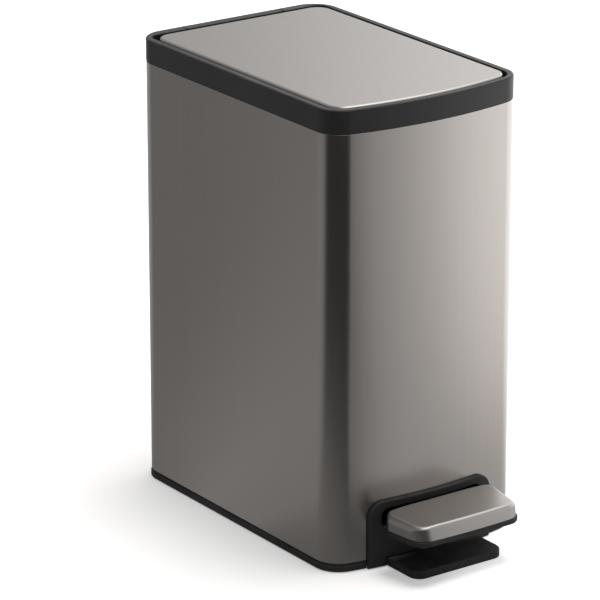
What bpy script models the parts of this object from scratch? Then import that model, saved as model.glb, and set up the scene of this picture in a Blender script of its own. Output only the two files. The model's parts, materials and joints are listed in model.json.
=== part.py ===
"""Slim pedal bin: brushed steel body, black rim and base, lid on a rear hinge.

The front is -Y, the floor is z = 0, and lengths are metres. Everything is modelled about
the plan centre of the body, and the whole bin is then moved so that the middle of its
footprint, pedal included, is the origin.
"""

from collections import namedtuple
from math import acos, asin, atan2, cos, hypot, pi, radians, sin, sqrt

import bmesh
import bpy
from mathutils import Vector

# Body and fits
BODY_WIDTH = 0.165
BODY_DEPTH = 0.252
BIN_HEIGHT = 0.3410
FRONT_CORNER_RADIUS = 0.0193
REAR_CORNER_RADIUS = 0.0201
FRONT_BOW = 0.0105
STEEL_THICKNESS = 0.0008
GAP = 0.0003
OVERRUN = 0.002
BLEND = 0.0005
MOTION_GAP = 0.0006

# Rim collar
RIM_HEIGHT = 0.0173
RIM_PROUD = 0.0002
RIM_SIDE_WIDTH = 0.0054
RIM_FRONT_WIDTH = 0.0040
RIM_REAR_WIDTH = 0.0082
RIM_HOLE_REAR_RADIUS = 0.0080
RIM_SKIRT_DEPTH = 0.0240
RIM_EDGE_RADIUS = 0.0014
RIM_INNER_CHAMFER = 0.0004
LEDGE_DROP = 0.0152
LEDGE_THICKNESS = 0.0025
LEDGE_WIDTH = 0.0101
LEDGE_BAR_WIDTH = 0.0040
LEDGE_CORNER_RADIUS = 0.0120
LEDGE_BAR_CORNER = 0.0015

# Hinge cover in the rear of the rim
COVER_WIDTH = 0.0860
COVER_HEIGHT = 0.0144
COVER_WALL = 0.0020

# Lid
LID_SIDE_GAP = 0.0023
LID_FRONT_GAP = 0.0027
LID_REAR_GAP = 0.0038
LID_FRONT_RADIUS = 0.0130
LID_REAR_RADIUS = 0.0120
LID_RISE = 0.0004
LID_EDGE_RADIUS = 0.0025
LID_SKIRT = 0.0115
LID_SHEET = 0.0008
LINER_DEPTH = 0.0136
LINER_FLOOR = 0.0023
LINER_WALL = 0.0020
LINER_EDGE_RADIUS = 0.0020
LID_OPEN_DEGREES = 78
BUMPER_RADIUS = 0.0022
BUMPER_SETBACK = 0.0270
BUMPER_REAR_SETBACK = 0.0250

# Hinge at the rear of the lid
HINGE_FROM_LID_REAR = 0.0080
HINGE_DEPTH = 0.0082
PIN_RADIUS = 0.0020
PIN_HEAD_RADIUS = 0.0034
PIN_HEAD_LENGTH = 0.0016
BARREL_RADIUS = 0.0043
BARREL_LENGTH = 0.0060
EAR_THICKNESS = 0.0020
EAR_INSIDE = 0.0375
EAR_SIDE_PLAY = 0.0010
EAR_FOOT_WIDTH = 0.0120
HINGE_ROOM = 0.0050
HINGE_CUT_SIDE = 0.0045
BRACKET_DROP = 0.0277
BRACKET_THICKNESS = 0.0020
BRACKET_HALF_WIDTH = 0.0400
BRACKET_BACK_HEIGHT = 0.0115
YOKE_THICKNESS = 0.0020
YOKE_REACH = 0.0360
YOKE_PLATE_END = 0.0110
LUG_RADIUS_ARM = 0.0180
LUG_TIP_RADIUS = 0.0020
LUG_HALF_WIDTH = 0.0040

# Base pan, feet and the foot plate under the pedal
BASE_TRIM_HEIGHT = 0.0065
BASE_TRIM_FACE = 0.0043
BASE_TRIM_PROUD = 0.0005
BASE_TRIM_STEP = 0.0002
BASE_NECK_INSET = 0.0006
BASE_LIFT = 0.0005
BASE_WALL = 0.0025
DECK_HEIGHT = 0.0545
DECK_THICKNESS = 0.0022
POST_RADIUS = 0.0075
SEAT_DEPTH = 0.0030
RUBBER_RADIUS = 0.0055
PLATE_HALF_WIDTH = 0.0392
PLATE_REACH = 0.0350
PLATE_HEIGHT = 0.0067
PLATE_CORNER_RADIUS = 0.0090
CROSSBAR_DEPTH = 0.0090
FRONT_PAD_RADIUS = 0.0060
FRONT_PAD_THICKNESS = 0.0022
FRONT_PAD_SETBACK = 0.0130

# Arched surround of the pedal opening
ARCH_HALF_WIDTH = 0.0540
ARCH_TOP = 0.0504
ARCH_RADIUS = 0.0125
ARCH_PROUD = 0.0030
ARCH_LAP = 0.0022
ARCH_DEPTH = 0.0075
WINDOW_HALF_WIDTH = 0.0440
WINDOW_TOP = 0.0448
WINDOW_SILL = 0.0306
WINDOW_RADIUS = 0.0060
NOTCH_HALF_WIDTH = 0.0200
NOTCH_SILL = 0.0120
LUG_INNER = 0.0240
LUG_OUTER = 0.0360
LUG_PLATE = 0.0030

# Bucket
BUCKET_CLEARANCE = 0.0008
BUCKET_LIP_WIDTH = 0.0017
BUCKET_LIP_HEIGHT = 0.0030
BUCKET_DRAFT = 0.0045
BUCKET_WALL = 0.0018
BUCKET_FLOOR = 0.0022
BUCKET_BELOW_LEDGE = 0.0005
GRIP_LENGTH = 0.0700
GRIP_HEIGHT = 0.0180
GRIP_DROP = 0.0250

# Pedal
PEDAL_TOP = 0.0456
PEDAL_REAR_GAP = 0.0080
PEDAL_DEPTH = 0.0390
PEDAL_REAR_WIDTH = 0.0972
PEDAL_FRONT_WIDTH = 0.0892
PEDAL_FRONT_RADIUS = 0.0100
PEDAL_REAR_RADIUS = 0.0060
TREAD_HEIGHT = 0.0116
TREAD_SLOPE = 0.0010
TREAD_EDGE_RADIUS = 0.0030
TREAD_SHEET = 0.0010
TRAY_LIP_PROUD = 0.0008
TRAY_LIP_HEIGHT = 0.0036
TRAY_UNDER_HEIGHT = 0.0050
TRAY_UNDER_INSET = 0.0090
TRAY_UNDER_TAPER = 0.0020
TRAY_WALL = 0.0020
TRAY_FLOOR = 0.0055
TRAY_RISE = 0.0060
NECK_HALF_WIDTH = 0.0165
NECK_HEIGHT = 0.0070
NECK_REACH = 0.0220

# Lever, axle and bracket under the deck
AXLE_SETBACK = 0.0540
AXLE_HEIGHT = 0.0160
AXLE_RADIUS = 0.0030
AXLE_HEAD_RADIUS = 0.0042
AXLE_HEAD_LENGTH = 0.0015
LEVER_HALF_WIDTH = 0.0130
LEVER_THICKNESS = 0.0020
LEVER_FLANGE = 0.0120
LEVER_TAIL = 0.0070
LEVER_BEND_START = 0.0260
LEVER_BEND_LENGTH = 0.0120
LEVER_NOSE = 0.0120
LEVER_SEAT = 0.0015
TIP_RADIUS = 0.0030
TIP_HALF_WIDTH = 0.0080
BUSH_RADIUS = 0.0055
BUSH_LENGTH = 0.0024
MOUNT_EAR_THICKNESS = 0.0020
MOUNT_PLATE = 0.0020
MOUNT_HALF_DEPTH = 0.0120
MOUNT_EAR_RADIUS = 0.0055

# Rod, its shoe and cap, the mechanism cover and the damper
ROD_RADIUS = 0.0020
SHOE_RADIUS = 0.0060
SHOE_THICKNESS = 0.0025
SLEEVE_RADIUS = 0.0036
SOCKET_FLOOR = 0.0020
CAP_RADIUS = 0.0050
COVER_FRONT_GAP = 0.0040
CHANNEL_WALL = 0.0020
CHANNEL_HALF_WIDTH = 0.0400
DAMPER_OFFSET = 0.0200
DAMPER_BEHIND_ROD = 0.0120
DAMPER_RADIUS = 0.0080
DAMPER_WALL = 0.0020
DAMPER_HEIGHT = 0.0975
DAMPER_END = 0.0040
PISTON_HEIGHT = 0.0060
PISTON_START = 0.0055
LINK_HEIGHT = 0.0080
LINK_ABOVE_DAMPER = 0.0180
LINK_RADIUS = 0.0050
CLIP_HEIGHT = 0.0080
CLIP_BELOW_TOP = 0.0220
CLIP_WALL = 0.0017

# Screws
SCREW_RADIUS = 0.0015
SCREW_HOLE_RADIUS = 0.0018
SCREW_HEAD_RADIUS = 0.0030
SCREW_HEAD_HEIGHT = 0.0016
SCREW_TIP = 0.0010
YOKE_SCREW_SPREAD = 0.0260
YOKE_SCREW_SETBACK = 0.0050
HINGE_SCREW_SPREAD = 0.0300
HINGE_SCREW_DEPTH = 0.0050
AXLE_SCREW_SPREAD = 0.0080
PEDAL_SCREW_SPREAD = 0.0040
SURROUND_SCREW_DEPTH = 0.0040

# Facets
CORNER_STEPS = 6
BOW_STEPS = 10
EDGE_STEPS = 3
ROUND_STEPS = 20
SMALL_STEPS = 12
SMOOTH_DEGREES = 35

# Levels and lines that the pieces share
HALF_WIDTH = BODY_WIDTH / 2
FRONT = -BODY_DEPTH / 2
REAR = BODY_DEPTH / 2
BOW_RADIUS = (HALF_WIDTH ** 2 + FRONT_BOW ** 2) / (2 * FRONT_BOW)
BOW_CENTRE = FRONT + BOW_RADIUS
CROSSBAR_HALF_WIDTH = HALF_WIDTH - FRONT_CORNER_RADIUS
STEEL_LOW = BASE_TRIM_HEIGHT + GAP
STEEL_HIGH = BIN_HEIGHT - RIM_HEIGHT - GAP
INNER_INSET = STEEL_THICKNESS + GAP
RIM_LOW = BIN_HEIGHT - RIM_HEIGHT
LID_TOP = BIN_HEIGHT + LID_RISE
LEDGE_TOP = BIN_HEIGHT - LEDGE_DROP
LEDGE_LOW = LEDGE_TOP - LEDGE_THICKNESS
LINER_LOW = LID_TOP - LINER_DEPTH
DECK_LOW = DECK_HEIGHT - DECK_THICKNESS

RIM_HOLE_REAR = REAR - RIM_REAR_WIDTH
LID_REAR = RIM_HOLE_REAR - LID_REAR_GAP
HINGE_Y = LID_REAR - HINGE_FROM_LID_REAR
HINGE_Z = BIN_HEIGHT - HINGE_DEPTH
HALF_OPEN = radians(LID_OPEN_DEGREES) / 2
LUG_Y = HINGE_Y - LUG_RADIUS_ARM * cos(HALF_OPEN)
LUG_Z = HINGE_Z - LUG_RADIUS_ARM * sin(HALF_OPEN)
ROD_Y = (LUG_Y + HINGE_Y - LUG_RADIUS_ARM) / 2
CAP_TOP = LUG_Z - LUG_TIP_RADIUS - MOTION_GAP
BRACKET_TOP = BIN_HEIGHT - BRACKET_DROP
BRACKET_LOW = BRACKET_TOP - BRACKET_THICKNESS
BRACKET_REAR = RIM_HOLE_REAR - GAP
BAR_REAR = ROD_Y - CAP_RADIUS - MOTION_GAP
HINGE_CUT_HALF = EAR_INSIDE + EAR_THICKNESS + HINGE_CUT_SIDE

AXLE_Y = FRONT + AXLE_SETBACK
LEVER_TOP = AXLE_HEIGHT + LEVER_FLANGE / 2
PEDAL_REAR = FRONT - PEDAL_REAR_GAP
PEDAL_FRONT = PEDAL_REAR - PEDAL_DEPTH
TREAD_LOW = PEDAL_TOP - TREAD_HEIGHT
TRAY_LOW = TREAD_LOW - GAP - TRAY_LIP_HEIGHT - TRAY_UNDER_HEIGHT
TONGUE_LOW = TRAY_LOW + LEVER_SEAT
TONGUE_TOP = TONGUE_LOW + LEVER_THICKNESS
TIP_TOP = LEVER_TOP - LEVER_THICKNESS / 2 + TIP_RADIUS
SHOE_LOW = TIP_TOP + GAP
MOUNT_EAR_INSIDE = LEVER_HALF_WIDTH + BUSH_LENGTH + 2 * GAP

FOOTPRINT_SHIFT = (-PEDAL_FRONT + TRAY_LIP_PROUD - REAR - BASE_TRIM_PROUD) / 2

Plan = namedtuple("Plan", "half_width front rear front_radius rear_radius")
BODY = Plan(HALF_WIDTH, FRONT, REAR, FRONT_CORNER_RADIUS, REAR_CORNER_RADIUS)
RIM_HOLE = Plan(
    HALF_WIDTH - RIM_SIDE_WIDTH,
    FRONT + RIM_FRONT_WIDTH,
    RIM_HOLE_REAR,
    FRONT_CORNER_RADIUS - RIM_SIDE_WIDTH,
    RIM_HOLE_REAR_RADIUS,
)
LID = Plan(
    RIM_HOLE.half_width - LID_SIDE_GAP,
    RIM_HOLE.front + LID_FRONT_GAP,
    LID_REAR,
    LID_FRONT_RADIUS,
    LID_REAR_RADIUS,
)
LEDGE_HOLE = Plan(
    RIM_HOLE.half_width - LEDGE_WIDTH,
    RIM_HOLE.front + LEDGE_WIDTH,
    BAR_REAR - LEDGE_BAR_WIDTH,
    LEDGE_CORNER_RADIUS,
    LEDGE_CORNER_RADIUS,
)


def clear_scene():
    for item in list(bpy.data.objects):
        bpy.data.objects.remove(item, do_unlink=True)


def make_material(name, colour, roughness, metallic):
    material = bpy.data.materials.new(name)
    material.use_nodes = True
    shader = material.node_tree.nodes["Principled BSDF"]
    shader.inputs["Base Color"].default_value = (*colour, 1)
    shader.inputs["Roughness"].default_value = roughness
    shader.inputs["Metallic"].default_value = metallic
    material.diffuse_color = (*colour, 1)
    return material


def make_group(name, place, parent=None):
    group = bpy.data.objects.new(name, None)
    group.location = place
    group.parent = parent
    bpy.context.collection.objects.link(group)
    return group


def add_object(name, mesh, group, material):
    """Adds a mesh drawn about the body's plan centre, under a group placed on its axis."""
    piece = bpy.data.objects.new(name, mesh)
    piece.parent = group
    piece.location = -group.location if group.parent else Vector()
    if material:
        mesh.materials.append(material)
    bpy.context.collection.objects.link(piece)
    return piece


def loft(name, loops, group, material, closed=False):
    """Joins loops of equal count with faces; a closed loft is a ring, an open one is capped."""
    shape = bmesh.new()
    rings = [[shape.verts.new(point) for point in loop] for loop in loops]
    pairs = list(zip(rings, rings[1:]))
    if closed:
        pairs.append((rings[-1], rings[0]))
    for first, second in pairs:
        for i in range(len(first)):
            j = (i + 1) % len(first)
            shape.faces.new((first[i], first[j], second[j], second[i]))
    if not closed:
        shape.faces.new(rings[0])
        shape.faces.new(rings[-1])
    bmesh.ops.recalc_face_normals(shape, faces=shape.faces)
    mesh = bpy.data.meshes.new(name)
    shape.to_mesh(mesh)
    shape.free()
    mesh.shade_smooth()
    mesh.set_sharp_from_angle(angle=radians(SMOOTH_DEGREES))
    return add_object(name, mesh, group, material)


def guide(piece):
    """Marks a shape that only cuts or joins another one."""
    piece.hide_render = True
    piece.display_type = "WIRE"
    return piece


def combine(piece, other, operation):
    modifier = piece.modifiers.new(other.name, "BOOLEAN")
    modifier.object = guide(other)
    modifier.operation = operation
    modifier.solver = "EXACT"


def cut(piece, other):
    combine(piece, other, "DIFFERENCE")


def join(piece, other):
    combine(piece, other, "UNION")


def arc(x, y, radius, start, end, steps):
    turns = [start + (end - start) * i / steps for i in range(steps + 1)]
    return [(x + radius * cos(turn), y + radius * sin(turn)) for turn in turns]


def inset(plan, distance):
    return Plan(
        plan.half_width - distance,
        plan.front + distance,
        plan.rear - distance,
        plan.front_radius - distance,
        plan.rear_radius - distance,
    )


def outline(plan):
    """The bin's plan shape, anticlockwise: straight sides and rear, a front bowed outwards."""
    bow = BOW_CENTRE - plan.front
    x = plan.half_width - plan.front_radius
    y = BOW_CENTRE - sqrt((bow - plan.front_radius) ** 2 - x ** 2)
    lean = atan2(y - BOW_CENTRE, x)
    rear_x = plan.half_width - plan.rear_radius
    rear_y = plan.rear - plan.rear_radius
    points = arc(rear_x, rear_y, plan.rear_radius, 0, pi / 2, CORNER_STEPS)
    points += arc(-rear_x, rear_y, plan.rear_radius, pi / 2, pi, CORNER_STEPS)
    points += arc(-x, y, plan.front_radius, pi, pi - lean, CORNER_STEPS)
    points += arc(0, BOW_CENTRE, bow, pi - lean, 2 * pi + lean, BOW_STEPS)[1:-1]
    points += arc(x, y, plan.front_radius, lean, 0, CORNER_STEPS)
    return points


def at_level(points, z):
    return [(x, y, z) for x, y in points]


def plan_loops(plan, profile):
    """One loop for each (inset, z) of a profile."""
    return [at_level(outline(inset(plan, distance)), z) for distance, z in profile]


def edge_profile(distance, z, radius, steps=EDGE_STEPS):
    """The quarter round from a wall at the given inset up to a flat top at level z."""
    turns = [pi / 2 * i / steps for i in range(steps + 1)]
    return [(distance + radius * (1 - cos(t)), z - radius * (1 - sin(t))) for t in turns]


def rounded_polygon(corners, radii, grow=0, steps=CORNER_STEPS):
    """An anticlockwise convex polygon moved outwards by grow, with its corners rounded."""
    count = len(corners)
    edges = []
    for i in range(count):
        start, end = Vector(corners[i]), Vector(corners[(i + 1) % count])
        along = (end - start).normalized()
        outward = Vector((along.y, -along.x))
        edges.append((start + outward * grow, along))
    points = []
    for i in range(count):
        before, after = edges[i - 1], edges[i]
        turn = before[1].cross(after[1])
        reach = (after[0] - before[0]).cross(after[1]) / turn
        corner = before[0] + before[1] * reach
        radius = max(radii[i] + grow, 0)
        if radius == 0:
            points.append(tuple(corner))
            continue
        bend = acos(max(-1, min(1, before[1].dot(after[1]))))
        centre = corner + (after[1] - before[1]).normalized() * radius / cos(bend / 2)
        first = atan2(-before[1].x, before[1].y)
        points += arc(centre.x, centre.y, radius, first, first + bend, steps)
    return points


def rectangle(x0, y0, x1, y1):
    return [(x0, y0), (x1, y0), (x1, y1), (x0, y1)]


def capsule(x0, y0, x1, y1, radius, steps=SMALL_STEPS):
    """A slot shape round two centres."""
    heading = atan2(y1 - y0, x1 - x0)
    points = arc(x1, y1, radius, heading - pi / 2, heading + pi / 2, steps // 2)
    points += arc(x0, y0, radius, heading + pi / 2, heading + pi * 3 / 2, steps // 2)
    return points


def prism(name, points, axis, low, high, group, material=None):
    """Extrudes an outline along one axis; its two coordinates are the other two axes in order."""
    place = {
        "x": lambda a, b, c: (c, a, b),
        "y": lambda a, b, c: (a, c, b),
        "z": lambda a, b, c: (a, b, c),
    }[axis]
    loops = [[place(a, b, end) for a, b in points] for end in (low, high)]
    return loft(name, loops, group, material)


def block(name, low, high, group, material=None):
    points = rectangle(low[0], low[1], high[0], high[1])
    return prism(name, points, "z", low[2], high[2], group, material)


def turned(name, profile, centre, axis, group, material=None, steps=ROUND_STEPS, closed=False):
    """Turns a profile of (radius, distance along the axis) round the named axis."""
    turns = [2 * pi * i / steps for i in range(steps)]
    place = {
        "x": lambda a, b, c: (c, a, b),
        "y": lambda a, b, c: (a, c, b),
        "z": lambda a, b, c: (a, b, c),
    }[axis]
    loops = []
    for radius, along in profile:
        ring = [Vector(place(radius * cos(t), radius * sin(t), along)) for t in turns]
        loops.append([point + Vector(centre) for point in ring])
    return loft(name, loops, group, material, closed)


def rod(name, radius, low, high, centre, axis, group, material=None, steps=ROUND_STEPS):
    return turned(name, [(radius, low), (radius, high)], centre, axis, group, material, steps)


def screw(name, place, axis, direction, length, group, material):
    """A pan head screw; its head stands on the side it is driven from."""
    head = SCREW_HEAD_HEIGHT
    profile = [
        (SCREW_HEAD_RADIUS * 3 / 4, -head),
        (SCREW_HEAD_RADIUS, -head / 2),
        (SCREW_HEAD_RADIUS, 0),
        (SCREW_RADIUS, 0),
        (SCREW_RADIUS, length - SCREW_TIP),
        (SCREW_RADIUS / 3, length),
    ]
    profile = [(radius, along * direction) for radius, along in profile]
    return turned(name, profile, place, axis, group, material, SMALL_STEPS)


def screw_hole(name, place, axis, low, high, group):
    return rod(name, SCREW_HOLE_RADIUS, low, high, place, axis, group, steps=SMALL_STEPS)


def bow_slab(name, proud, depth, half_width, low, high, group, material=None):
    """A plate that follows the bowed front, from proud of the steel to depth behind it."""
    outer, inner = BOW_RADIUS + proud, BOW_RADIUS - depth
    spread = asin(half_width / outer)
    points = arc(0, BOW_CENTRE, outer, -pi / 2 - spread, -pi / 2 + spread, BOW_STEPS)
    spread = asin(half_width / inner)
    points += arc(0, BOW_CENTRE, inner, -pi / 2 + spread, -pi / 2 - spread, BOW_STEPS)
    return prism(name, points, "z", low, high, group, material)


def arch_points(half_width, low, top, radius):
    corners = rectangle(-half_width, low, half_width, top)
    return rounded_polygon(corners, [0, 0, radius, radius])


def outer_shell(group, steel):
    """The steel wrap, cut away at the bottom of the front for the pedal surround."""
    profile = [
        (0, STEEL_LOW),
        (0, STEEL_HIGH),
        (STEEL_THICKNESS, STEEL_HIGH),
        (STEEL_THICKNESS, STEEL_LOW),
    ]
    shell = loft("outer_shell", plan_loops(BODY, profile), group, steel, closed=True)
    points = arch_points(
        ARCH_HALF_WIDTH - ARCH_LAP, -OVERRUN, ARCH_TOP - ARCH_LAP, ARCH_RADIUS - ARCH_LAP
    )
    opening = prism("shell_arch_cut", points, "y", FRONT - OVERRUN, AXLE_Y, group)
    cut(shell, opening)
    return shell


def rim_collar(group, plastic):
    """The black rim: a skirt inside the steel, the visible band, and the ledge under the lid."""
    skirt_low = RIM_LOW - RIM_SKIRT_DEPTH
    outer = [(INNER_INSET, skirt_low), (INNER_INSET, RIM_LOW), (-RIM_PROUD, RIM_LOW)]
    outer += edge_profile(-RIM_PROUD, BIN_HEIGHT, RIM_EDGE_RADIUS)
    inner = [
        (-RIM_INNER_CHAMFER, BIN_HEIGHT),
        (0, BIN_HEIGHT - RIM_INNER_CHAMFER),
        (0, skirt_low),
    ]
    loops = plan_loops(BODY, outer) + plan_loops(RIM_HOLE, inner)
    collar = loft("rim_collar", loops, group, plastic, closed=True)
    join(collar, ledge(group))
    low = (-COVER_WIDTH / 2 - GAP, RIM_HOLE_REAR - OVERRUN, BIN_HEIGHT - COVER_HEIGHT - GAP)
    high = (COVER_WIDTH / 2 + GAP, REAR + OVERRUN, BIN_HEIGHT + OVERRUN)
    cut(collar, block("rim_cover_cut", low, high, group))
    for side, x in (("left", -HINGE_SCREW_SPREAD), ("right", HINGE_SCREW_SPREAD)):
        place = (x, RIM_HOLE_REAR, BRACKET_LOW - HINGE_SCREW_DEPTH)
        cut(collar, screw_hole(f"rim_screw_cut_{side}", place, "y", -OVERRUN, BRACKET_REACH, group))
    return collar


def ledge(group):
    """The inner ledge, closed at the rear by a bar in front of the rod."""
    outer = Plan(
        RIM_HOLE.half_width + BLEND,
        RIM_HOLE.front - BLEND,
        BAR_REAR,
        RIM_HOLE.front_radius + BLEND,
        LEDGE_BAR_CORNER,
    )
    loops = [
        at_level(outline(outer), LEDGE_LOW),
        at_level(outline(outer), LEDGE_TOP),
        at_level(outline(LEDGE_HOLE), LEDGE_TOP),
        at_level(outline(LEDGE_HOLE), LEDGE_LOW),
    ]
    return loft("rim_ledge", loops, group, None, closed=True)


def hinge_cover(group, plastic):
    """The cap that closes the rear of the rim over the hinge, hollow below."""
    front, rear = RIM_HOLE_REAR, REAR + RIM_PROUD
    low = BIN_HEIGHT - COVER_HEIGHT
    top = [
        (rear - inward, z)
        for inward, z in edge_profile(0, BIN_HEIGHT, RIM_EDGE_RADIUS)
    ]
    points = [(rear - COVER_WALL, low), (rear, low)] + top
    points += [
        (front + RIM_INNER_CHAMFER, BIN_HEIGHT),
        (front, BIN_HEIGHT - RIM_INNER_CHAMFER),
        (front, low),
        (front + COVER_WALL, low),
        (front + COVER_WALL, BIN_HEIGHT - COVER_WALL),
        (rear - COVER_WALL, BIN_HEIGHT - COVER_WALL),
    ]
    prism("hinge_cover", points, "x", -COVER_WIDTH / 2, COVER_WIDTH / 2, group, plastic)


def lid_skin(group, steel):
    """The pressed steel lid, cut short at the rear where it swings over the hinge."""
    low = LID_TOP - LID_SKIRT
    inner = edge_profile(LID_SHEET, LID_TOP - LID_SHEET, LID_EDGE_RADIUS - LID_SHEET)
    profile = inner[::-1] + [(LID_SHEET, low), (0, low)]
    profile += edge_profile(0, LID_TOP, LID_EDGE_RADIUS)
    skin = loft("lid_skin", plan_loops(LID, profile), group, steel)
    cut(skin, hinge_room("skin_hinge_cut", HINGE_Y, HINGE_Z + HINGE_ROOM, group))
    return skin


def hinge_room(name, front, high, group):
    """The space over the hinge that the lid leaves open."""
    low = (-HINGE_CUT_HALF, front, LINER_LOW - OVERRUN)
    return block(name, low, (HINGE_CUT_HALF, LID_REAR + OVERRUN, high), group)


def lid_liner(group, plastic):
    """The plastic tray that closes the lid from below and carries the hinge yoke."""
    side = LID_SHEET + GAP
    top = LID_TOP - LID_EDGE_RADIUS
    low = [
        (distance, 2 * LINER_LOW - z)
        for distance, z in edge_profile(side, LINER_LOW, LINER_EDGE_RADIUS)
    ]
    profile = low[::-1] + [(side, top), (side + LINER_WALL, top)]
    profile += [(side + LINER_WALL, LINER_LOW + LINER_FLOOR)]
    liner = loft("lid_liner", plan_loops(LID, profile), group, plastic)
    front = LUG_Y - LUG_TIP_RADIUS - OVERRUN
    cut(liner, hinge_room("liner_hinge_cut", front, LID_TOP, group))
    for side, x in YOKE_SCREWS:
        place = (x, YOKE_SCREW_Y, LINER_LOW)
        cut(liner, screw_hole(f"liner_screw_cut_{side}", place, "z", -OVERRUN, LINER_DEPTH, group))
    return liner


def hinge_yoke(group, steel):
    """The steel plate in the lid, with a barrel at each side and the lug the rod pushes."""
    low = LINER_LOW + LINER_FLOOR + GAP
    high = low + YOKE_THICKNESS
    half = EAR_INSIDE - EAR_SIDE_PLAY
    arm = half - BARREL_LENGTH
    front, plate_end = HINGE_Y - YOKE_REACH, HINGE_Y - YOKE_PLATE_END
    points = [
        (-half, front), (half, front), (half, HINGE_Y), (arm, HINGE_Y),
        (arm, plate_end), (-arm, plate_end), (-arm, HINGE_Y), (-half, HINGE_Y),
    ]
    yoke = prism("hinge_yoke", points, "z", low, high, group, steel)
    for side, inner in (("left", -half), ("right", arm)):
        place = (inner, HINGE_Y, HINGE_Z)
        join(yoke, rod(f"yoke_barrel_{side}", BARREL_RADIUS, 0, BARREL_LENGTH, place, "x", group))
    lug = capsule(LUG_Y, LUG_Z, LUG_Y, high - LUG_TIP_RADIUS, LUG_TIP_RADIUS)
    join(yoke, prism("yoke_lug", lug, "x", -LUG_HALF_WIDTH, LUG_HALF_WIDTH, group))
    centre = (0, HINGE_Y, HINGE_Z)
    reach = half + OVERRUN
    cut(yoke, rod("yoke_pin_cut", PIN_RADIUS + GAP, -reach, reach, centre, "x", group))
    for side, x in YOKE_SCREWS:
        place = (x, YOKE_SCREW_Y, LINER_LOW)
        cut(yoke, screw_hole(f"yoke_screw_cut_{side}", place, "z", 0, LINER_DEPTH, group))
    return yoke


def yoke_screws(group, metal):
    length = LINER_FLOOR + YOKE_THICKNESS + 2 * GAP + SCREW_TIP
    for side, x in YOKE_SCREWS:
        place = (x, YOKE_SCREW_Y, LINER_LOW - GAP)
        screw(f"yoke_screw_{side}", place, "z", 1, length, group, metal)


def hinge_bracket(group, steel):
    """The fixed bracket: a shelf with the rod's guide hole, a back plate, and two ears."""
    front = BAR_REAR
    points = rectangle(front, BRACKET_LOW, BRACKET_REAR, BRACKET_TOP)
    half = BRACKET_HALF_WIDTH
    bracket = prism("hinge_bracket", points, "x", -half, half, group, steel)
    low = (-half, BRACKET_REAR - BRACKET_THICKNESS, BRACKET_TOP - BRACKET_BACK_HEIGHT)
    join(bracket, block("bracket_back", low, (half, BRACKET_REAR, BRACKET_TOP), group))
    ear = ear_points()
    for side, inner in (("left", -EAR_INSIDE - EAR_THICKNESS), ("right", EAR_INSIDE)):
        name = f"bracket_ear_{side}"
        join(bracket, prism(name, ear, "x", inner, inner + EAR_THICKNESS, group))
    reach = half + OVERRUN
    centre = (0, HINGE_Y, HINGE_Z)
    cut(bracket, rod("bracket_pin_cut", PIN_RADIUS + GAP, -reach, reach, centre, "x", group))
    place = (0, ROD_Y, BRACKET_TOP)
    low = -BRACKET_THICKNESS - OVERRUN
    cut(bracket, rod("bracket_rod_cut", ROD_RADIUS + GAP, low, OVERRUN, place, "z", group))
    for side, x in (("left", -HINGE_SCREW_SPREAD), ("right", HINGE_SCREW_SPREAD)):
        place = (x, BRACKET_REAR, BRACKET_LOW - HINGE_SCREW_DEPTH)
        low = -BRACKET_THICKNESS - OVERRUN
        cut(bracket, screw_hole(f"bracket_screw_cut_{side}", place, "y", low, OVERRUN, group))
    return bracket


def ear_points():
    """An ear in side view: a foot on the shelf, narrowing to a round end on the hinge."""
    radius = BARREL_RADIUS
    points = arc(HINGE_Y, HINGE_Z, radius, 0, pi, SMALL_STEPS)
    foot = HINGE_Y + radius - EAR_FOOT_WIDTH
    points += [(foot, BRACKET_TOP - BRACKET_THICKNESS / 2)]
    points += [(HINGE_Y + radius, BRACKET_TOP - BRACKET_THICKNESS / 2)]
    return points


def hinge_pins(group, metal):
    """Headed pins driven through the ears into the barrels."""
    head_start = EAR_INSIDE + EAR_THICKNESS + GAP
    inner_end = EAR_INSIDE - EAR_SIDE_PLAY - BARREL_LENGTH
    for side, sign in (("left", -1), ("right", 1)):
        profile = [
            (PIN_RADIUS, sign * inner_end),
            (PIN_RADIUS, sign * head_start),
            (PIN_HEAD_RADIUS, sign * head_start),
            (PIN_HEAD_RADIUS, sign * (head_start + PIN_HEAD_LENGTH)),
        ]
        turned(f"hinge_pin_{side}", profile, (0, HINGE_Y, HINGE_Z), "x", group, metal, SMALL_STEPS)


def hinge_screws(group, metal):
    for side, x in (("left", -HINGE_SCREW_SPREAD), ("right", HINGE_SCREW_SPREAD)):
        place = (x, BRACKET_REAR - BRACKET_THICKNESS - GAP, BRACKET_LOW - HINGE_SCREW_DEPTH)
        length = BRACKET_THICKNESS + BRACKET_REACH - SCREW_TIP
        screw(f"hinge_screw_{side}", place, "y", 1, length, group, metal)


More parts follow.
